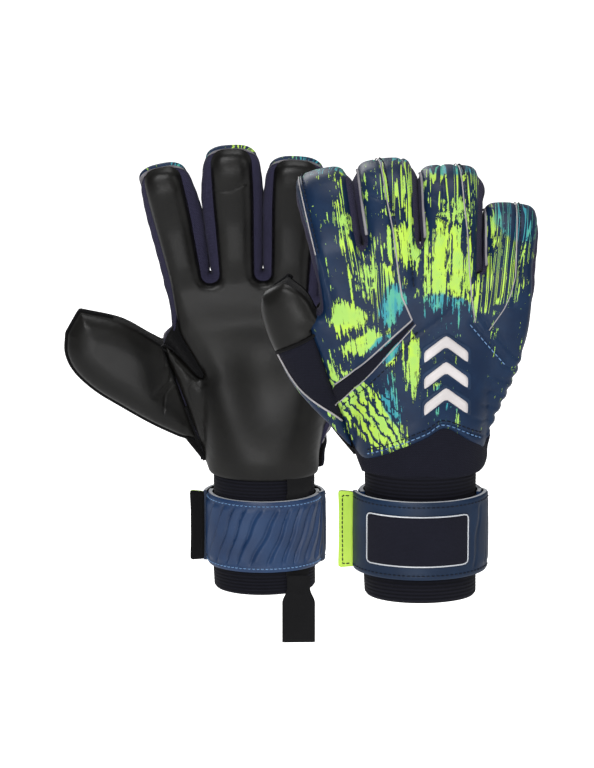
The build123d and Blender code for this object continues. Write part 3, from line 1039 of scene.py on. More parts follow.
# Seams pressed into the back: each with its width and depth.
def backGrooves(glove):
    reach = {name: glove.fold[name].reach for name in fingers}
    lines = []
    for name, w, top, low in (("index", -8.6, -9.4, -22), ("middle", 1.5, -4.6, 2), ("middle", 9.4, 9.9, -14),
                              ("ring", -3.2, -4.4, 2), ("ring", 9.0, 3.0, -16), ("pinky", 3.0, 2.4, -4)):
        places = [(w, low), (lerp(w, top, 0.5), reach[name] * 0.5), (top, reach[name] - 9)]
        lines.append((alongFinger(glove, name, places), 0.9, 1.0))
    lines.append((alongFinger(glove, "index", [(-11.0, -16), (-11.4, 30), (-11.6, reach["index"] - 12)]),
                  0.8, 0.6))
    for name in ("middle", "ring"):
        for s in (30, 39):
            lines.append((alongFinger(glove, name, [(-10, s), (-4.5, s - 2.5)]), 0.8, 0.7))
    for shift in (-2.6, 2.6):
        lines.append((beside(np.array(backLines["ulnarBand"], float), shift), 1.0, 1.1))
    lines.append((np.array(backLines["chevron"], float), 0.9, 0.8))
    lines.append((through([(-12, 146), (2, 152), (20, 168), (27, 186)], 6), 0.9, 0.7))
    for i in range(6):
        x, z = 52.0 - i * 3.3, 128 - i * 7.4
        lines.append((np.array([(x, z), (x - 8.5, z + 3.6)]), 0.9, 0.9))
    return lines


def makeHand(glove):
    side = glove.side
    palm = handRing(glove, "palm")
    glove.backRing = handRing(glove, "back")
    cuts = [fingerCut(glove, name, hand["cutLift"]) for name in fingers]
    creases = [
        (through([(-37, 84), (-44, 103), (-50, 122), (-55, 138)], 6), 1.3, 1.0),
        (through([(-33.5, 90), (-40, 108), (-46, 124), (-43, 130)], 6), 1.1, 0.7),
        (alongFinger(glove, "middle", [(-9.5, glove.fold["middle"].reach - 24),
                                       (-3, glove.fold["middle"].reach - 24.6),
                                       (9, glove.fold["middle"].reach - 20)]), 0.9, 0.7),
    ]
    uv, faces, gap = fillOutline(palm, cuts, [(line, wide) for line, wide, _ in creases])
    owner = whose(glove, uv)
    depth = palmDepth(glove, uv, gap, owner)
    for line, wide, deep in creases:
        depth += deep * groove(uv, line, wide)
    soft = smooth((uv[:, 1] - 74) / 12)
    depth -= rollEdge(gap, 5.6, 5.4) * (1 - soft) * 0.72
    sheetPieces(glove, "palm", uv, faces, depth, owner, 3.0, ["palm", "tape", "lining"], True,
                lambda name: ["palm_latex"] if name == "hand" else [name + "_latex"])
    lines = backGrooves(glove)
    uv, faces, gap = fillOutline(glove.backRing, cuts, [(line, wide) for line, wide, _ in lines])
    owner = whose(glove, uv)
    depth = backDepth(glove, uv, gap, owner)
    for line, wide, deep in lines:
        depth -= deep * groove(uv, line, wide)
    soft = smooth((uv[:, 1] - 84) / 22)
    depth += rollEdge(gap, 5.2, 4.8) * (1 - soft) * 0.6
    sheetPieces(glove, "back", uv, faces, depth, owner, 2.6, ["print", "edge", "lining"], False,
                lambda name: ["backhand_panel"] if name == "hand" else [name + "_back"])
    makeWalls(glove)
    makeCaps(glove)
    makeCrotch(glove)
    makeYoke(glove)
    makeTrim(glove)
    print(side, "hand and fingers")


walls = {"thick": 0.9, "rows": 13, "crotchPush": 3.5, "rest": 0.5, "slack": 0.42, "leastSwell": 2.1,
         "mostSwell": 5.0, "pleat": 0.12, "pleatDeep": 0.10}


# The knit walls between the fingers and down the sides of the hand.
def makeWalls(glove):
    line = handRing(glove, "wall")
    inward = inwardOf(line, False)
    for _ in range(3):
        inward[1:-1] = (inward[:-2] + inward[1:-1] * 2 + inward[2:]) / 4
    inward /= np.linalg.norm(inward, axis=1)[:, None]
    owner = whose(glove, line)
    edge = np.zeros(len(line))
    top = palmDepth(glove, line, edge, owner) - 1.2
    bottom = np.maximum(backDepth(glove, line, edge, owner) + 1.2, top + 1.0)
    front = np.where((line[:, 0] < -33) & (line[:, 1] < 166), 0.9, 3.3)
    proud = np.full(len(line), walls["rest"])
    for i, name in enumerate(fingers):
        w, high = glove.fold[name].flat(line)
        reach = glove.fold[name].reach
        others = line[(owner >= 0) & (owner != i)]
        room = np.sqrt(((line[:, None] - others[None]) ** 2).sum(axis=2)).min(axis=1) / 2
        outerSide = ((name == "index") & (w < 0)) | ((name == "pinky") & (w > 0))
        between = np.clip(room + walls["slack"], walls["leastSwell"], walls["mostSwell"])
        swell = np.where(outerSide, 2.0, between) * lerp(1.0, 0.62, smooth((high - reach + 34) / 20))
        swell = swell - 2.6 * smooth((high - reach + 15) / 9)
        proud = np.where(owner == i, swell, proud)
    proud = np.where((owner < 0) & (line[:, 1] > 160) & (np.abs(line[:, 0] - 3) < 44),
                     walls["crotchPush"], proud)
    proud -= 1.6 * smooth((98 - line[:, 1]) / 14)
    for i, name in enumerate(fingers):
        high = glove.fold[name].flat(line)[1]
        reach = glove.fold[name].reach
        front = np.where((owner == i) & (high > reach - 10), 2.2, front)
    kernel = np.ones(7) / 7
    front = np.convolve(np.pad(front, 3, mode="edge"), kernel, mode="valid")
    proud = np.convolve(np.pad(proud, 3, mode="edge"), kernel, mode="valid")
    rows = walls["rows"]
    pleat = -walls["pleat"] - np.sin(np.arange(len(line)) * 0.9) * walls["pleatDeep"]
    uv, depth = [], []
    for t in np.linspace(0, 1, rows):
        inset = front * max(0.0, 1 - t / 0.3) ** 2 + max(0.0, (t - 0.7) / 0.3) ** 2
        inset -= (proud + pleat) * math.sin(math.pi * t) ** 0.8
        uv.append(line + inward * inset[:, None])
        depth.append(lerp(top, bottom, t))
    uv, depth = np.vstack(uv), np.concatenate(depth)
    owner = np.tile(owner, rows)
    points = putHand(glove, uv, depth, owner)
    faces = gridFaces(rows, len(line))
    faces = faceOutwards(points, faces, inward)
    normal = pointNormals(points, faces)
    part = splitFaces(glove, np.tile(line, (rows, 1)), faces)
    rim = set(rimEdges(faces))
    for i, name in enumerate([*fingers, "hand"]):
        mine = faces[part == (i if name != "hand" else -1)]
        solid, faceList, normals, slots, flat = cutOut(points, mine, normal, uv, rim, walls["thick"])
        piece = putMesh(glove, name + "_gusset", solid, faceList, ["gusset", "gusset", "lining"],
                        flat, normals, slots)
        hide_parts(glove.side + "_" + name + "_gussets")
        joinBody(glove, piece, name)


# The printed back turned down over each fingertip.
def makeCaps(glove):
    for name, finger in fingers.items():
        fold = glove.fold[name]
        ring = glove.backRing
        w, s = fold.flat(ring)
        mine = (s > fold.reach - 17.0) & (np.abs(w) < finger["half"] + 4)
        line = ring[mine]
        order = np.argsort(np.arctan2(fold.flat(line)[0], fold.flat(line)[1] - (fold.reach - 19)))
        line = evenly(line[order], 1.0)
        inward = inwardOf(line, False)
        if (inward.mean(axis=0) @ fold.along) > 0:
            inward = -inward
        w, s = fold.flat(line)
        owner = np.full(len(line), list(fingers).index(name))
        top = backDepth(glove, line, np.zeros(len(line)), owner) + 0.1
        share = np.clip(np.abs(w) / (finger["half"] + 1.3), 0, 1)
        low = lerp(8.0, top - 2.5, share ** 6)
        rows = 9
        uv, depth, flat = [], [], []
        for t in np.linspace(0, 1, rows):
            bulge = 3.6 * math.sin(math.pi / 2 * min(1, t * 1.25)) - 0.9 * max(0.0, t - 0.7) / 0.3
            uv.append(line - inward * (bulge * (1 - share ** 5))[:, None])
            depth.append(lerp(top, low, t))
            flat.append(line - inward * ((top - low) * t)[:, None])
        uv, depth, flat = np.vstack(uv), np.concatenate(depth), np.vstack(flat)
        points = fold.put(uv, depth)
        faces = gridFaces(rows, len(line))
        faces = faceOutwards(points, faces, inward, len(line) // 2)
        normal = pointNormals(points, faces)
        solid, faceList, normals, slots, flat = thicken(points, faces, 2.2, rimEdges(faces), flat, normal)
        piece = putMesh(glove, name + "_tip", solid, faceList, ["print", "edge", "lining"],
                        flat, normals, slots)
        joinHand(glove, piece, name + "_finger")


crotch = {
    "outline": [(-61, 149), (-57, 160), (-48, 168), (-44, 158), (-35.5, 138), (-34, 129), (-40, 128.5),
                (-61, 149)],
    "fold": [(-36, 131), (-46, 145), (-58, 160)],
    "thick": 1.2, "sink": 4.6, "foldDeep": 2.6, "ripple": 0.6,
}
yoke = {
    "outline": [(-32.4, 71.5), (0, 70.5), (32.4, 71.5), (37, 84), (37, 94), (22, 103), (6, 103), (-14, 98),
                (-36, 92), (-36.5, 82), (-32.4, 71.5)],
    "thick": 1.4, "sink": 2.0,
}


# The folded gusset in the crotch of the thumb.
def makeCrotch(glove):
    ring = anticlockwise(through(crotch["outline"], 6)[:-1])
    uv, faces, _ = fillOutline(ring, (), [(through(crotch["fold"], 6), 1.8)], spacing=2.4)
    depth = hand["skin"] - heelShape(uv) + crotch["sink"] \
        - crotch["foldDeep"] * groove(uv, crotch["fold"], 2.6) \
        + crotch["ripple"] * np.sin(uv[:, 0] * 0.9 + uv[:, 1] * 0.5)
    handPlate(glove, "crotch_gusset", uv, faces, depth, crotch["thick"], ["tape", "tape", "lining"], False)


# The knit yoke between the backhand's pointed edge and the cuff.
def makeYoke(glove):
    ring = anticlockwise(through(yoke["outline"], 6)[:-1])
    uv, faces, gap = fillOutline(ring, (), (), spacing=2.6)
    depth = hand["skin"] + heelShape(uv) - yoke["sink"] - rollEdge(gap, 2.0, 0.8)
    handPlate(glove, "yoke", uv, faces, depth, yoke["thick"], ["yoke", "yoke", "lining"])


trim = {
    "piping": 0.50, "stitchPitch": 3.1, "stitch": 1.9, "stitchRadius": 0.32, "bandThick": 0.9, "bandLift": 0.75,
    "band": [(-49, 108), (-46.5, 108.2), (-33, 122.8), (-17.6, 140.4), (-4.2, 155.6), (-4.8, 157.0),
             (-17.6, 145.2), (-33, 131.2), (-48, 119)],
    "bandTop": [(-48, 119.6), (-33, 132.2), (-17.8, 146.4), (-5.6, 157.4)],
    "bandLow": [(-47, 107.4), (-33, 122.2), (-17.4, 139.7), (-3.6, 154.9)],
    "chevron": [(-30, 82.5), (-10.5, 90.5), (3, 96), (12.7, 100.5), (33, 91)],
    "chevronHigh": [(-30, 85.0), (-10.5, 93.0), (3, 98.5), (12.7, 103), (34, 93.5)],
}


# Piping, stitches and the badge on the back of the hand.
def makeTrim(glove):
    reach = {name: glove.fold[name].reach for name in fingers}
    start = hand["cutLift"] + 0.6

    def lay(title, line, width, body="hand", shade="silver", lift=0.25, squash=0.7):
        points, out, _ = onBack(glove, line, lift)
        cloud, faces = tubeMesh(points, trim["piping"] * width, 8, normal=out, squash=squash)
        joinBody(glove, putWhole(glove, title, cloud, faces, shade), body)

    def sew(title, line, shade, body="hand"):
        points, out, _ = onBack(glove, line, 0.0, 0.8)
        cloud, faces = stitchMesh(points, out, trim["stitchPitch"], trim["stitch"], trim["stitchRadius"])
        joinBody(glove, putWhole(glove, title, cloud, faces, shade), body)

    def upFinger(name, w, top, end, shift=0.0):
        return alongFinger(glove, name, [(w + shift, start), (lerp(w, top, 0.5) + shift, reach[name] * 0.5),
                                         (top + shift, reach[name] - end)])

    uv, part, gap = fillOutline(anticlockwise(closedEvenly(trim["band"], 1.2)), (), (),
                                spacing=2.2, rings=(0.3, 0.9))
    depth = backPoint(glove, uv)[0] + trim["bandLift"] - rollEdge(gap, 0.9, 0.7)
    handPlate(glove, "band", uv, part, depth, trim["bandThick"], ["yoke"])
    turn = alongFinger(glove, "middle", [(2.4, -20), (1.9, -8), (1.5, start)])
    lay("band_piping", np.vstack([through(trim["bandTop"], 5), turn]), 0.85)
    lay("band_piping_low", through(trim["bandLow"], 5), 0.6)
    for name, w, top, end in (("middle", 1.5, -4.6, 6), ("ring", 9.0, 3.0, 6), ("pinky", 3.0, 2.4, 8),
                              ("index", -11.0, -11.6, 14)):
        lay(name + "_piping", upFinger(name, w, top, end), 0.72, name)
        sew(name + "_stitches", upFinger(name, w, top, end + 2, 2.0), "threadDark", name)
    for name in ("middle", "ring", "pinky"):
        half = fingers[name]["half"]
        line = alongFinger(glove, name, [(-half + 0.9, start + 4), (-half + 0.2, 24),
                                         (-half - 0.8, reach[name] - 18)])
        lay(name + "_edge", line, 1.8, name, "edge", lift=-0.5, squash=1.0)
    lay("ring_root_piping",
        np.vstack([[(28.7, 156)], alongFinger(glove, "ring", [(11, -18), (9, start)])]), 0.72)
    lay("pinky_root_piping", alongFinger(glove, "pinky", [(-9, -20), (-2, -8), (3, start)]), 0.6)
    sew("chevron_stitches", through(trim["chevron"], 6), "threadBlue")
    sew("chevron_stitches_high", through(trim["chevronHigh"], 6), "threadDark")
    sew("band_stitches", beside(backLines["band"], 4.8), "threadDark")
    sew("ulnar_stitches", beside(backLines["ulnarBand"], 4.4), "threadBlue")
    sew("knuckle_stitches", alongFinger(glove, "middle", [(9.4, -16), (9.4, start)]), "threadDark")
    makeBadge(glove)


badge = {"left": 1.0, "width": 24.0, "low": 106.0, "rise": 9.0, "stroke": 6.2, "pitch": 14.0, "bars": 3,
         "bed": 1.9}


# Three plain raised chevrons on a moulded bed.
def makeBadge(glove):
    middle, right = badge["left"] + badge["width"] / 2, badge["left"] + badge["width"]

    def bar(low, grow):
        left, far, stroke = badge["left"] - grow, right + grow, badge["stroke"] + grow * 2
        low = low - grow
        return np.array([(left, low), (middle, low + badge["rise"]), (far, low), (far, low + stroke),
                         (middle, low + badge["rise"] + stroke), (left, low + stroke)])

    for title, grow, lift, wall, shade in (("badge_bed", badge["bed"], 0.7, 1.2, "badgeBed"),
                                           ("badge", 0.0, 1.7, 1.6, "badge")):
        clouds, faces, normals, flats, count = [], [], [], [], 0
        for index in range(badge["bars"]):
            outline = bar(badge["low"] + index * badge["pitch"], grow)
            ring = closedEvenly(outline, 0.9)
            for _ in range(2):
                ring = (np.roll(ring, 1, axis=0) + ring * 2 + np.roll(ring, -1, axis=0)) / 4
            uv, part, gap = fillOutline(ring, (), (), spacing=1.8, rings=(0.25, 0.7, 1.4))
            depth = backPoint(glove, uv)[0] + lift - rollEdge(gap, 1.1, 0.9)
            points = np.column_stack([uv[:, 0], depth - hand["skin"], uv[:, 1]])
            part = part[:, ::-1]
            solid, faceList, pointing, _, flat = thicken(points, part, wall, rimEdges(part), uv)
            clouds.append(solid)
            faces += [[v + count for v in f] for f in faceList]
            normals += pointing
            flats.append(flat)
            count += len(solid)
        piece = putMesh(glove, title, np.vstack(clouds), faces, shade, np.vstack(flats), normals)
        if title == "badge":
            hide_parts(glove.side + "_badge")
        joinHand(glove, piece)


def thumbFront(glove, uv, gap):
    s = glove.fold["thumb"].flat(uv)[1]
    root = hand["skin"] - heelShape(np.column_stack([np.maximum(uv[:, 0], -37), uv[:, 1]]))
    depth = lerp(root, 1.2, smooth(s / 26))
    return depth - 2.4 * smooth(gap / 17) * smooth(s / 20) \
        + rollEdge(gap, 9.5, 8.0) * lerp(0.45, 1, smooth(s / 16))


def thumbBack(glove, uv, gap):
    s = glove.fold["thumb"].flat(uv)[1]
    root = hand["skin"] + heelShape(np.column_stack([np.maximum(uv[:, 0], -37), uv[:, 1]]))
    depth = lerp(root, 26.4, smooth(s / 26))
    return depth + 1.6 * smooth(gap / 17) * smooth(s / 20) \
        - rollEdge(gap, 9.0, 8.0) * lerp(0.45, 1, smooth(s / 16))


def makeThumb(glove):
    fold = glove.fold["thumb"]
    ring = thumbRing(glove)
    turn = math.radians(thumb["turn"][glove.side])
    along = np.array([-math.sin(turn), math.cos(turn)])
    side = np.array([-math.cos(turn), -math.sin(turn)])

    def at(reach, off):
        return fold.centre + along * reach + side * off

    creases = [
        (np.array([at(16, -20), at(13, -6), at(17, 4)]), 1.3, 0.9),
        (np.array([at(9, -14), at(12, 2), at(8, 12)]), 1.2, 0.8),
        (np.array([at(24, -24), at(20, -14)]), 1.1, 0.6),
    ]
    uv, faces, gap = fillOutline(ring, (), [(line, wide) for line, wide, _ in creases])
    depth = thumbFront(glove, uv, gap)
    for line, wide, deep in creases:
        depth += deep * groove(uv, line, wide)
    points = fold.put(uv, depth)
    solid, faceList, normals, slots, flat = thicken(points, faces, 3.0, rimEdges(faces), uv)
    piece = putMesh(glove, "thumb_palm", solid, faceList, ["palm", "tape", "lining"], flat, normals, slots)
    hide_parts(glove.side + "_thumb_latex")
    joinFinger(glove, piece, "thumb")

    seam = [at(30, -34), at(31, 0), at(35, 30)]
    strip = {
        "left": [at(-20, 15.5), at(2, 11.5), at(20, 12.5), at(42, 12.0), at(62, 9.5), at(84, 4)],
        "right": [at(-26, 5.5), at(2, 10.0), at(20, 9.5), at(42, 6.5), at(58, 1.5), at(84, -8)],
    }[glove.side]
    cuts = [through(seam, 6), through(strip, 6)]
    uv, faces, gap = fillOutline(ring, cuts, [])
    depth = thumbBack(glove, uv, gap)
    depth -= 0.8 * groove(uv, through(seam, 6), 1.0)
    points = fold.put(uv, depth)
    faces = faces[:, ::-1]
    middle = uv[faces].mean(axis=1)
    reach = (middle - fold.centre) @ along
    off = (middle - fold.centre) @ side
    border = through(strip, 6) - fold.centre
    lineOff = np.interp(reach, border @ along, border @ side)
    solid, faceList, normals, slots, flat = thicken(points, faces, 2.6, rimEdges(faces), uv)
    slots = np.array(slots)
    seamReach = np.interp(off, [-34, 0, 30], [30, 31, 35])
    slots[:len(faces)] = np.where(reach > seamReach, 0, np.where(off > lineOff, 3, 4))
    shades = ["palm", "tape", "lining", "print", "yoke"]
    piece = putMesh(glove, "thumb_back", solid, faceList, shades, flat, normals, slots)
    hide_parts(glove.side + "_thumb_back")
    joinFinger(glove, piece, "thumb")

    def surface(line, lift):
        line = evenly(line, 1.3)
        gaps = away(line, ring)
        here = fold.put(line, thumbBack(glove, line, gaps))
        out = fold.put(line, thumbBack(glove, line, gaps) + 1.0) - here
        return here + out * lift, out

    piping = through(strip, 12)[2:]
    piping = piping[(piping - fold.centre) @ along < 32]
    for title, line, radius, shade in (("thumb_piping", piping, 0.55, "silver"),
                                       ("thumb_seam", through(seam, 6)[1:-1], 0.9, "tape")):
        line = line[inside(line, ring)]
        points, out = surface(line, 0.3)
        cloud, tube = tubeMesh(points, radius, 8, normal=out, squash=0.7)
        piece = putWhole(glove, title, cloud, tube, shade)
        joinFinger(glove, piece, "thumb")

    edge = [p for p in ring if (p - fold.centre) @ side > 3 or (p - fold.centre) @ along > 60]
    edge = np.array(sorted(edge, key=lambda p: math.atan2((p - at(30, 0)) @ along, (p - at(30, 0)) @ side)))
    depth = thumbFront(glove, edge, np.zeros(len(edge))) - 0.2
    path = evenly(fold.put(edge, depth), 1.4)
    cloud, tube = tubeMesh(path, 1.25, 8)
    piece = putWhole(glove, "thumb_binding", cloud, tube, "tape")
    joinFinger(glove, piece, "thumb")

    line = closedEvenly(ring, 1.5)
    inward = inwardOf(line)
    zero = np.zeros(len(line))
    top = thumbFront(glove, line, zero) - 1.4
    bottom = np.maximum(thumbBack(glove, line, zero) + 1.2, top + 1.0)
    rows = 8
    uv = np.vstack([line + inward * (0.8 - 1.0 * math.sin(math.pi * t)) for t in np.linspace(0, 1, rows)])
    depth = np.concatenate([lerp(top, bottom, t) for t in np.linspace(0, 1, rows)])
    points = fold.put(uv, depth)
    faces = gridFaces(rows, len(line), True)
    faces = faceOutwards(points, faces, inward)
    solid, faceList, normals, slots, flat = thicken(points, faces, walls["thick"], rimEdges(faces), uv)
    piece = putMesh(glove, "thumb_gusset", solid, faceList, ["tape", "tape", "lining"], flat, normals, slots)
    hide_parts(glove.side + "_thumb_gusset")
    joinFinger(glove, piece, "thumb")
    print(glove.side, "thumb")


cuff = {"halfWide": 31.0, "halfDeep": 25.0, "height": 74.0, "wall": 1.9, "ribDeep": 0.07}


def oval(angle, out, z):
    return np.column_stack([(cuff["halfWide"] + out) * np.cos(angle),
                            (cuff["halfDeep"] + out) * np.sin(angle), z])


# A wall that follows the cuff: columns are angles, rows are heights, outer and inner give its two faces.
def ovalShell(angles, heights, outer, inner, closed):
    a, z = np.meshgrid(angles, heights)
    a, z = a.ravel(), z.ravel()
    points = np.vstack([oval(a, outer(a, z), z), oval(a, inner(a, z), z)])
    rows, columns = len(heights), len(angles)
    faces = gridFaces(rows, columns, closed)
    half = rows * columns
    flat = np.column_stack([a * 28, z])
    slots = [0] * len(faces) + [2] * len(faces)
    outerFaces, innerFaces = faces.tolist(), (faces[:, ::-1] + half).tolist()
    rim = rimEdges(faces)
    edge = [[b, a, a + half, b + half] for a, b in rim]
    high = points[:half, 2].max() - 0.01
    slots += [3 if points[a, 2] > high and points[b, 2] > high else 1 for a, b in rim]
    return points, outerFaces + innerFaces + edge, slots, np.vstack([flat, flat])


def sharpRims(piece, angle=50):
    bpy.ops.object.select_all(action="DESELECT")
    piece.select_set(True)
    bpy.context.view_layer.objects.active = piece
    bpy.ops.object.shade_smooth_by_angle(angle=math.radians(angle))


def shellPiece(glove, title, angles, heights, outer, inner, shades, sharp=50, closed=False):
    points, faces, slots, flat = ovalShell(angles, heights, outer, inner, closed)
    slots = slots if isinstance(shades, list) else None
    piece = putMesh(glove, title, points, wholeSurface(points, faces), shades, flat, slots=slots)
    sharpRims(piece, sharp)
    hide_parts(glove.side + "_" + title)
    return piece


def awayFromCuff(a, z):
    return oval(a, 4.0, z) - oval(a, 3.0, z)


# A row of stitches round the strap at one height, between two angles.
def sewRound(glove, title, start, end, count, z, surface, radius, shade):
    a = np.linspace(math.radians(start), math.radians(end), count)
    z = np.full_like(a, z)
    cloud, faces = stitchMesh(oval(a, surface(a, z), z), awayFromCuff(a, z), 2.7, 1.6, radius, 0.12)
    return putWhole(glove, title, cloud, faces, shade)


strap = {"low": 15.0, "high": 59.0, "inner": 0.4, "outer": 3.4, "rib": 2.5, "pitch": 7.4, "lean": 0.34,
         "flapInner": 4.0, "flapOuter": 6.5, "flapEnd": 176.0}


def strapHeights(rows):
    low, high = strap["low"], strap["high"]
    middle = np.linspace(low + 1.8, high - 1.8, rows)
    return np.concatenate([[low, low + 0.35, low + 0.9], middle, [high - 0.9, high - 0.35, high]])


# Rounds the strap's long edges.
def strapEdge(z, deep):
    return -deep * (1 - smooth((z - strap["low"]) / 1.1)) - deep * (1 - smooth((strap["high"] - z) / 1.1))


# One over the ribbed middle, nothing over the plain border.
def strapBorder(z):
    return smooth((z - strap["low"] - 4) / 2.2) * smooth((strap["high"] - 4 - z) / 2.2)


def ribs(angle, z, pitch, lean):
    far = angle * 28.0
    phase = (far - (z - 37) * lean) / pitch + 0.12 * np.sin(far * 0.21) + 0.05 * np.sin(z * 0.3)
    t = phase - np.floor(phase)
    return smooth(t / 0.3) * (1 - 0.75 * t) * smooth((1 - t) / 0.12)


def makeCuff(glove):
    angles = np.linspace(0, 2 * math.pi, 110, endpoint=False)
    heights = np.concatenate([[0.0, 0.5], np.arange(1.05, 73.6, 0.45), [cuff["height"]]])

    def outer(a, z):
        rib = cuff["ribDeep"] * np.sin(z * math.pi / 0.9) * smooth((z - 1) / 2)
        edge = -0.9 * (1 - smooth(z / 1.4)) - 0.5 * smooth((z - 66) / 8)
        sag = 0.35 * np.sin(a * 3 + 1) * (1 - smooth(z / 14)) + 0.3 * np.sin(a * 2 + z * 0.09)
        return rib + edge + sag - 0.2

    shades = ["elastic", "elastic", "lining", "elastic"]
    piece = shellPiece(glove, "wrist_bandage", angles, heights, outer,
                       lambda a, z: outer(a, z) - cuff["wall"], shades, 60, True)
    joinHand(glove, piece)

    angles = np.linspace(math.radians(-193), math.radians(13), 230)

    def wrap(a, z):
        ribbing = strap["rib"] * (ribs(a, z, strap["pitch"], strap["lean"]) - 0.35) * strapBorder(z)
        return strap["outer"] + strapEdge(z, 0.7) + ribbing - 0.1 + 0.35 * np.sin(a * 2 + z * 0.05)

    shades = ["strap", "strap", "lining", "whiteEdge"]
    piece = shellPiece(glove, "strap_wrap", angles, strapHeights(40), wrap,
                       lambda a, z: np.full_like(a, strap["inner"]) + 0.15, shades)
    joinHand(glove, piece)
    for title, z in (("strap_stitches_low", 17.4), ("strap_stitches_high", 56.4)):
        piece = sewRound(glove, title, -188, 8, 300, z, wrap, 0.33, "threadBlue")
        joinHand(glove, piece)
    makeFlap(glove)
    makeLining(glove)
    print(glove.side, "cuff and strap")


def makeFlap(glove):
    angles = np.concatenate([np.linspace(math.radians(-9), math.radians(60), 80)[:-1],
                             np.linspace(math.radians(60), math.radians(strap["flapEnd"]), 90)])

    def lift(a):
        return smooth((a - math.radians(-9)) / math.radians(14))

    def outer(a, z):
        border = strapBorder(z) * smooth((math.radians(44) - a) / math.radians(4))
        top = lerp(3.3, strap["flapOuter"], lift(a)) + strapEdge(z, 0.6)
        return top + 1.3 * (ribs(a, z, 8.0, -0.1) - 0.4) * border

    def inner(a, z):
        return lerp(1.2, strap["flapInner"] + 0.1, lift(a))

    shades = ["flap", "flap", "lining", "whiteEdge"]
    joinFlap(glove, shellPiece(glove, "strap_flap", angles, strapHeights(34), outer, inner, shades))
    for title, z in (("flap_stitches_low", 17.6), ("flap_stitches_high", 56.2)):
        piece = sewRound(glove, title, 6, 172, 260, z, outer, 0.3, "threadDark")
        joinFlap(glove, piece)
    makePatch(glove)
    makeEndTab(glove)


patch = {"left": -29.0, "right": 25.0, "low": 23.0, "high": 51.0, "proud": 0.95, "corner": 2.2, "piping": 0.38}


# The loop patch on the flap, with piping round it.
def makePatch(glove):
    low, high, base, corner = patch["low"], patch["high"], strap["flapOuter"], patch["corner"]
    a0, a1 = (math.acos(x / (cuff["halfWide"] + base)) for x in (patch["right"], patch["left"]))
    angles = np.linspace(a0, a1, 64)
    heights = np.concatenate([[low, low + 0.3], np.linspace(low + 1, high - 1, 24), [high - 0.3, high]])

    def cover(a, z):
        end = np.minimum((a - a0), (a1 - a)) * 30
        return base + 0.15 \
            + patch["proud"] * smooth(np.minimum(np.minimum(z - low, high - z), end) / 1.2 + 0.25)

    piece = shellPiece(glove, "flap_patch", angles, heights, cover,
                       lambda a, z: np.full_like(a, base - 0.3), "patch", 60)
    joinFlap(glove, piece)
    left, right = a1 * 30 - corner, a0 * 30 + corner
    ring = []
    for step, (x, z) in enumerate(((left, low + corner), (left, high - corner), (right, high - corner),
                                   (right, low + corner))):
        turn = np.linspace(0, math.pi / 2, 6) + (step - 1) * math.pi / 2
        ring.append(np.column_stack([x + corner * np.cos(turn), z + corner * np.sin(turn)]))
    ring = closedEvenly(np.vstack(ring), 1.4)
    a, z = ring[:, 0] / 30, ring[:, 1]
    cloud, faces = tubeMesh(oval(a, base + 0.9, z), patch["piping"], 8, closed=True, normal=awayFromCuff(a, z))
    piece = putWhole(glove, "patch_piping", cloud, faces, "whiteEdge")
    joinFlap(glove, piece)


endTab = {
    "outline": [(-36.6, 15.6), (-44.6, 14.9), (-45.3, 15.6), (-44.9, 30), (-44.9, 46), (-45.4, 58.2),
                (-44.7, 58.9), (-36.6, 58.2)],
    "sewn": [(-38.6, 17.5), (-42.8, 17.3), (-43.0, 36), (-43.0, 56.2), (-38.6, 56.0)],
    "top": 3.9, "thick": 1.5, "padTop": 1.2, "padThick": 1.2, "flare": 0.5,
}


# The bright tab at the flap's end and the hook pad behind it.
def makeEndTab(glove):
    ring = anticlockwise(closedEvenly(endTab["outline"], 1.2))
    uv, part, gap = fillOutline(ring, (), (), spacing=2.2, rings=(0.3, 0.9, 1.8))
    flare = endTab["flare"] * np.sin(uv[:, 1] * 0.12)
    for title, y, wall, shade, slot, flip in (
            ("end_tab", endTab["top"], endTab["thick"], "lime", "end_tab_rubber", True),
            ("hook_pad", endTab["padTop"], endTab["padThick"], "hook", "patch_fabric", False)):
        push = rollEdge(gap, 0.9, 0.6)
        depth = (y - push + flare) if flip else (y + push + flare)
        points = np.column_stack([uv[:, 0], depth, uv[:, 1]])
        facing = part[:, ::-1] if flip else part
        solid, faceList, normals, _, flat = thicken(points, facing, wall, rimEdges(facing), uv)
        piece = putMesh(glove, title, solid, faceList, shade, flat, normals)
        if title == "end_tab":
            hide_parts(glove.side + "_end_tab")
        joinFlap(glove, piece)
    line = evenly(endTab["sewn"], 0.8)
    path = np.column_stack([line[:, 0], endTab["top"] + 0.05 + endTab["flare"] * np.sin(line[:, 1] * 0.12),
                            line[:, 1]])
    cloud, faces = stitchMesh(path, np.tile((0.0, 1.0, 0.0), (len(path), 1)), 2.6, 1.7, 0.3, 0.05)
    piece = putWhole(glove, "tab_stitches", cloud, faces, "threadDark")
    joinFlap(glove, piece)


def joinFlap(glove, piece):
    ends = glove.world([(36.0, -2.5, 37.0), (35.0, 9.0, 37.0)])
    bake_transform(piece)


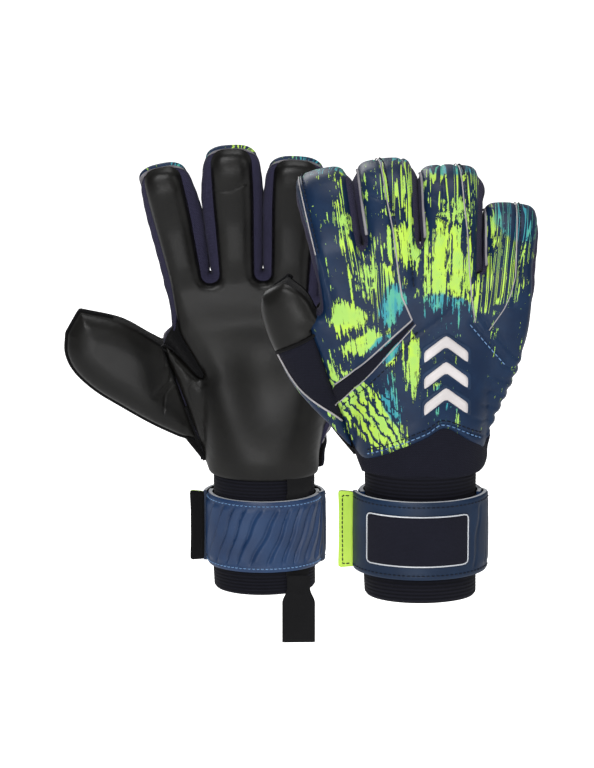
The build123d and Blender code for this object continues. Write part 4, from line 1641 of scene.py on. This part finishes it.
def makeLining(glove):
    heights = np.concatenate([[1.5, 2.2], np.linspace(4, 74, 16), np.linspace(80, 172, 20)])
    angles = np.linspace(0, 2 * math.pi, 90, endpoint=False)
    a, z = np.meshgrid(angles, heights)
    a, z = a.ravel(), z.ravel()
    share = smooth((z - 70) / 90)
    power = lerp(1.0, 0.62, share)
    middle = lerp(0.0, 2.0, share)

    def layer(inset):
        wide = lerp(28.2, 42.0, share) - inset
        deep = lerp(22.2, 8.2, share) - inset
        x = middle + wide * np.sign(np.cos(a)) * np.abs(np.cos(a)) ** power
        y = deep * np.sign(np.sin(a)) * np.abs(np.sin(a)) ** power
        return np.column_stack([x, y, z])

    points, faces = closedGrid(layer(0.0), layer(0.9), len(heights), len(angles), True)
    piece = putWhole(glove, "hand_lining", points, faces, "lining")
    sharpRims(piece, 60)
    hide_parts(glove.side + "_hand_lining")
    joinHand(glove, piece)
    for name in fingers:
        fold = glove.fold[name]
        s = np.linspace(10, fold.reach - 14, 34)
        cloud = []
        for w, lift in ((-5, 0), (5, 0), (5, 1.4), (-5, 1.4)):
            cloud.append(fold.put(fold.unflat(np.full_like(s, w), s), 20.2 - 3.0 * s / fold.reach - lift))
        cloud = np.stack(cloud, axis=1).reshape(-1, 3)
        faces = []
        for i in range(len(s) - 1):
            for j in range(4):
                faces.append([i * 4 + j, i * 4 + (j + 1) % 4, (i + 1) * 4 + (j + 1) % 4, (i + 1) * 4 + j])
        faces += [[0, 1, 2, 3], [(len(s) - 1) * 4 + j for j in (3, 2, 1, 0)]]
        piece = putWhole(glove, name + "_spine", cloud, faces, "spine")
        sharpRims(piece, 30)
        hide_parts(glove.side + "_" + name + "_spine")
        joinFinger(glove, piece, name)


pull = {"left": 14.0, "neck": 14.0, "width": 20.0, "length": 42.0, "wall": 1.5}


def makePullTab(glove):
    joint = joints[glove.side + "_tab_swing"]
    spot = np.array(joint["pos_m"]) * 1000 - glove.place
    if glove.mirrored:
        spot[1] = -spot[1]
    lift = math.radians(-joint["range_deg"][0])
    middle = pull["left"] + pull["neck"] / 2
    length = pull["length"]
    reach = np.concatenate([[0, 0.5], np.linspace(1.5, length - 1.2, 30), [length - 0.4, length]])
    half = lerp(pull["neck"] / 2, pull["width"] / 2, smooth((reach - 8) / 9))
    across = np.linspace(-1, 1, 15)

    def face(offset):
        cloud = []
        for r, h in zip(reach, half):
            for t in across:
                edge = (1 - abs(t)) * h
                thin = 0.55 * (1 - smooth(edge / 1.2)) + 0.55 * (1 - smooth(min(r, length - r)))
                wave = 0.7 * math.sin(r * 0.16 + t * 0.8) * smooth(r / 12) + 0.5 * math.sin(r * 0.31)
                hem = 0.35 * math.exp(-((r - 11) / 1.3) ** 2)
                x = middle + t * (h - (0.2 if r > length - 0.3 else 0))
                y = offset * (1 - thin * 0.75) + wave * 0.6 - (hem if offset < 0 else 0)
                cloud.append((x, y, -r))
        return np.array(cloud)

    hanging, faces = closedGrid(face(-pull["wall"] / 2), face(pull["wall"] / 2), len(reach), len(across))
    c, s = math.cos(-lift), math.sin(-lift)
    x, y, z = hanging.T
    points = np.column_stack([x, spot[1] + y * c - z * s, spot[2] + y * s + z * c])
    piece = putWhole(glove, "pull_tab", points, faces, "webbing")
    sharpRims(piece, 60)
    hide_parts(glove.side + "_pull_tab")
    joinHand(glove, piece, "tab")

    heights = np.concatenate([[10.5, 11], np.linspace(12, 77, 40), [78, 78.5]])
    a0, a1 = -math.acos(26.5 / 31), -math.acos(13.5 / 31)
    angles = np.linspace(a1, a0, 14)
    a, z = np.meshgrid(angles, heights)
    a, z = a.ravel(), z.ravel()
    out = 0.15 + 1.7 * smooth((z - 61) / 3) + 0.6 * (1 - smooth((z - 11) / 3))
    wide = 0.3 * np.sin(z * 0.5) * smooth((z - 60) / 4)
    outer = oval(a, out + 0.35 + wide, z)
    inner = oval(a, out - 0.35 + wide * 0.5, z)
    points, faces = closedGrid(outer, inner, len(heights), len(angles))
    piece = putWhole(glove, "pull_ribbon", points, faces, "webbing")
    sharpRims(piece, 60)
    joinHand(glove, piece)


for side in ("left", "right"):
    glove = Glove(side)
    planGlove(glove)
    makeHand(glove)
    makeThumb(glove)
    makeCuff(glove)
    makePullTab(glove)


room = {"floor": -0.22, "ambient": 0.30, "glow": 0.22, "lens": 179.0, "eye": (0.020, -2.251, 0.645),
        "look": (0.020, 0.0, 0.1258)}


def makeRoom():
    bpy.ops.object.select_all(action="DESELECT")
    bpy.ops.mesh.primitive_plane_add(size=14, location=(0, 3, room["floor"]))
    floor = bpy.context.object
    floor.name = "floor"
    g = Graph("paleFloor")
    direct = g.node("LightPath").outputs["Is Camera Ray"]
    glow = g.blend(direct, (room["glow"],) * 3, (0.95, 0.95, 0.95))   # pale to look at, dimmer as a light
    g.feed(g.shader.inputs["Emission Color"], glow)
    floor.data.materials.append(g.finish((0.92, 0.92, 0.92), 0.9, Emission_Strength=1.0))
    world = bpy.data.worlds.new("studio") if bpy.context.scene.world is None else bpy.context.scene.world
    bpy.context.scene.world = world
    world.use_nodes = True
    nodes, links = world.node_tree.nodes, world.node_tree.links
    nodes["Background"].inputs[0].default_value = (1.0, 1.0, 1.0, 1)
    seen = nodes.new("ShaderNodeLightPath")              # white behind the object, dimmer as a light
    level = nodes.new("ShaderNodeMapRange")
    level.inputs[3].default_value, level.inputs[4].default_value = room["ambient"], 1.0
    links.new(seen.outputs["Is Camera Ray"], level.inputs[0])
    links.new(level.outputs[0], nodes["Background"].inputs[1])
    for name, place, size, power, aim in (("key", (-0.45, -1.9, 1.25), 0.6, 22, (0.0, -0.1, 0.15)),
                                          ("low", (-0.10, -1.75, -0.02), 0.26, 5.0, (-0.02, -0.1, 0.16)),
                                          ("fill", (1.5, -1.6, 0.9), 0.9, 8, (0.05, -0.1, 0.15)),
                                          ("top", (0.1, -0.1, 1.8), 0.9, 11, (0.02, -0.1, 0.15)),
                                          ("rear", (-0.6, 1.7, 1.1), 1.0, 10, (0.02, -0.1, 0.15))):
        lamp = bpy.data.lights.new(name, "AREA")
        lamp.size, lamp.energy = size, power
        made = bpy.data.objects.new(name, lamp)
        bpy.context.scene.collection.objects.link(made)
        made.location = place
        made.rotation_euler = (Vector(aim) - Vector(place)).to_track_quat("-Z", "Y").to_euler()
    cam = bpy.data.cameras.new("camera")
    cam.lens = room["lens"]
    made = bpy.data.objects.new("camera", cam)
    bpy.context.scene.collection.objects.link(made)
    made.location = room["eye"]
    made.rotation_euler = (Vector(room["look"]) - Vector(room["eye"])).to_track_quat("-Z", "Y").to_euler()
    bpy.context.scene.camera = made
    bpy.context.scene.view_settings.view_transform = "Standard"


makeRoom()
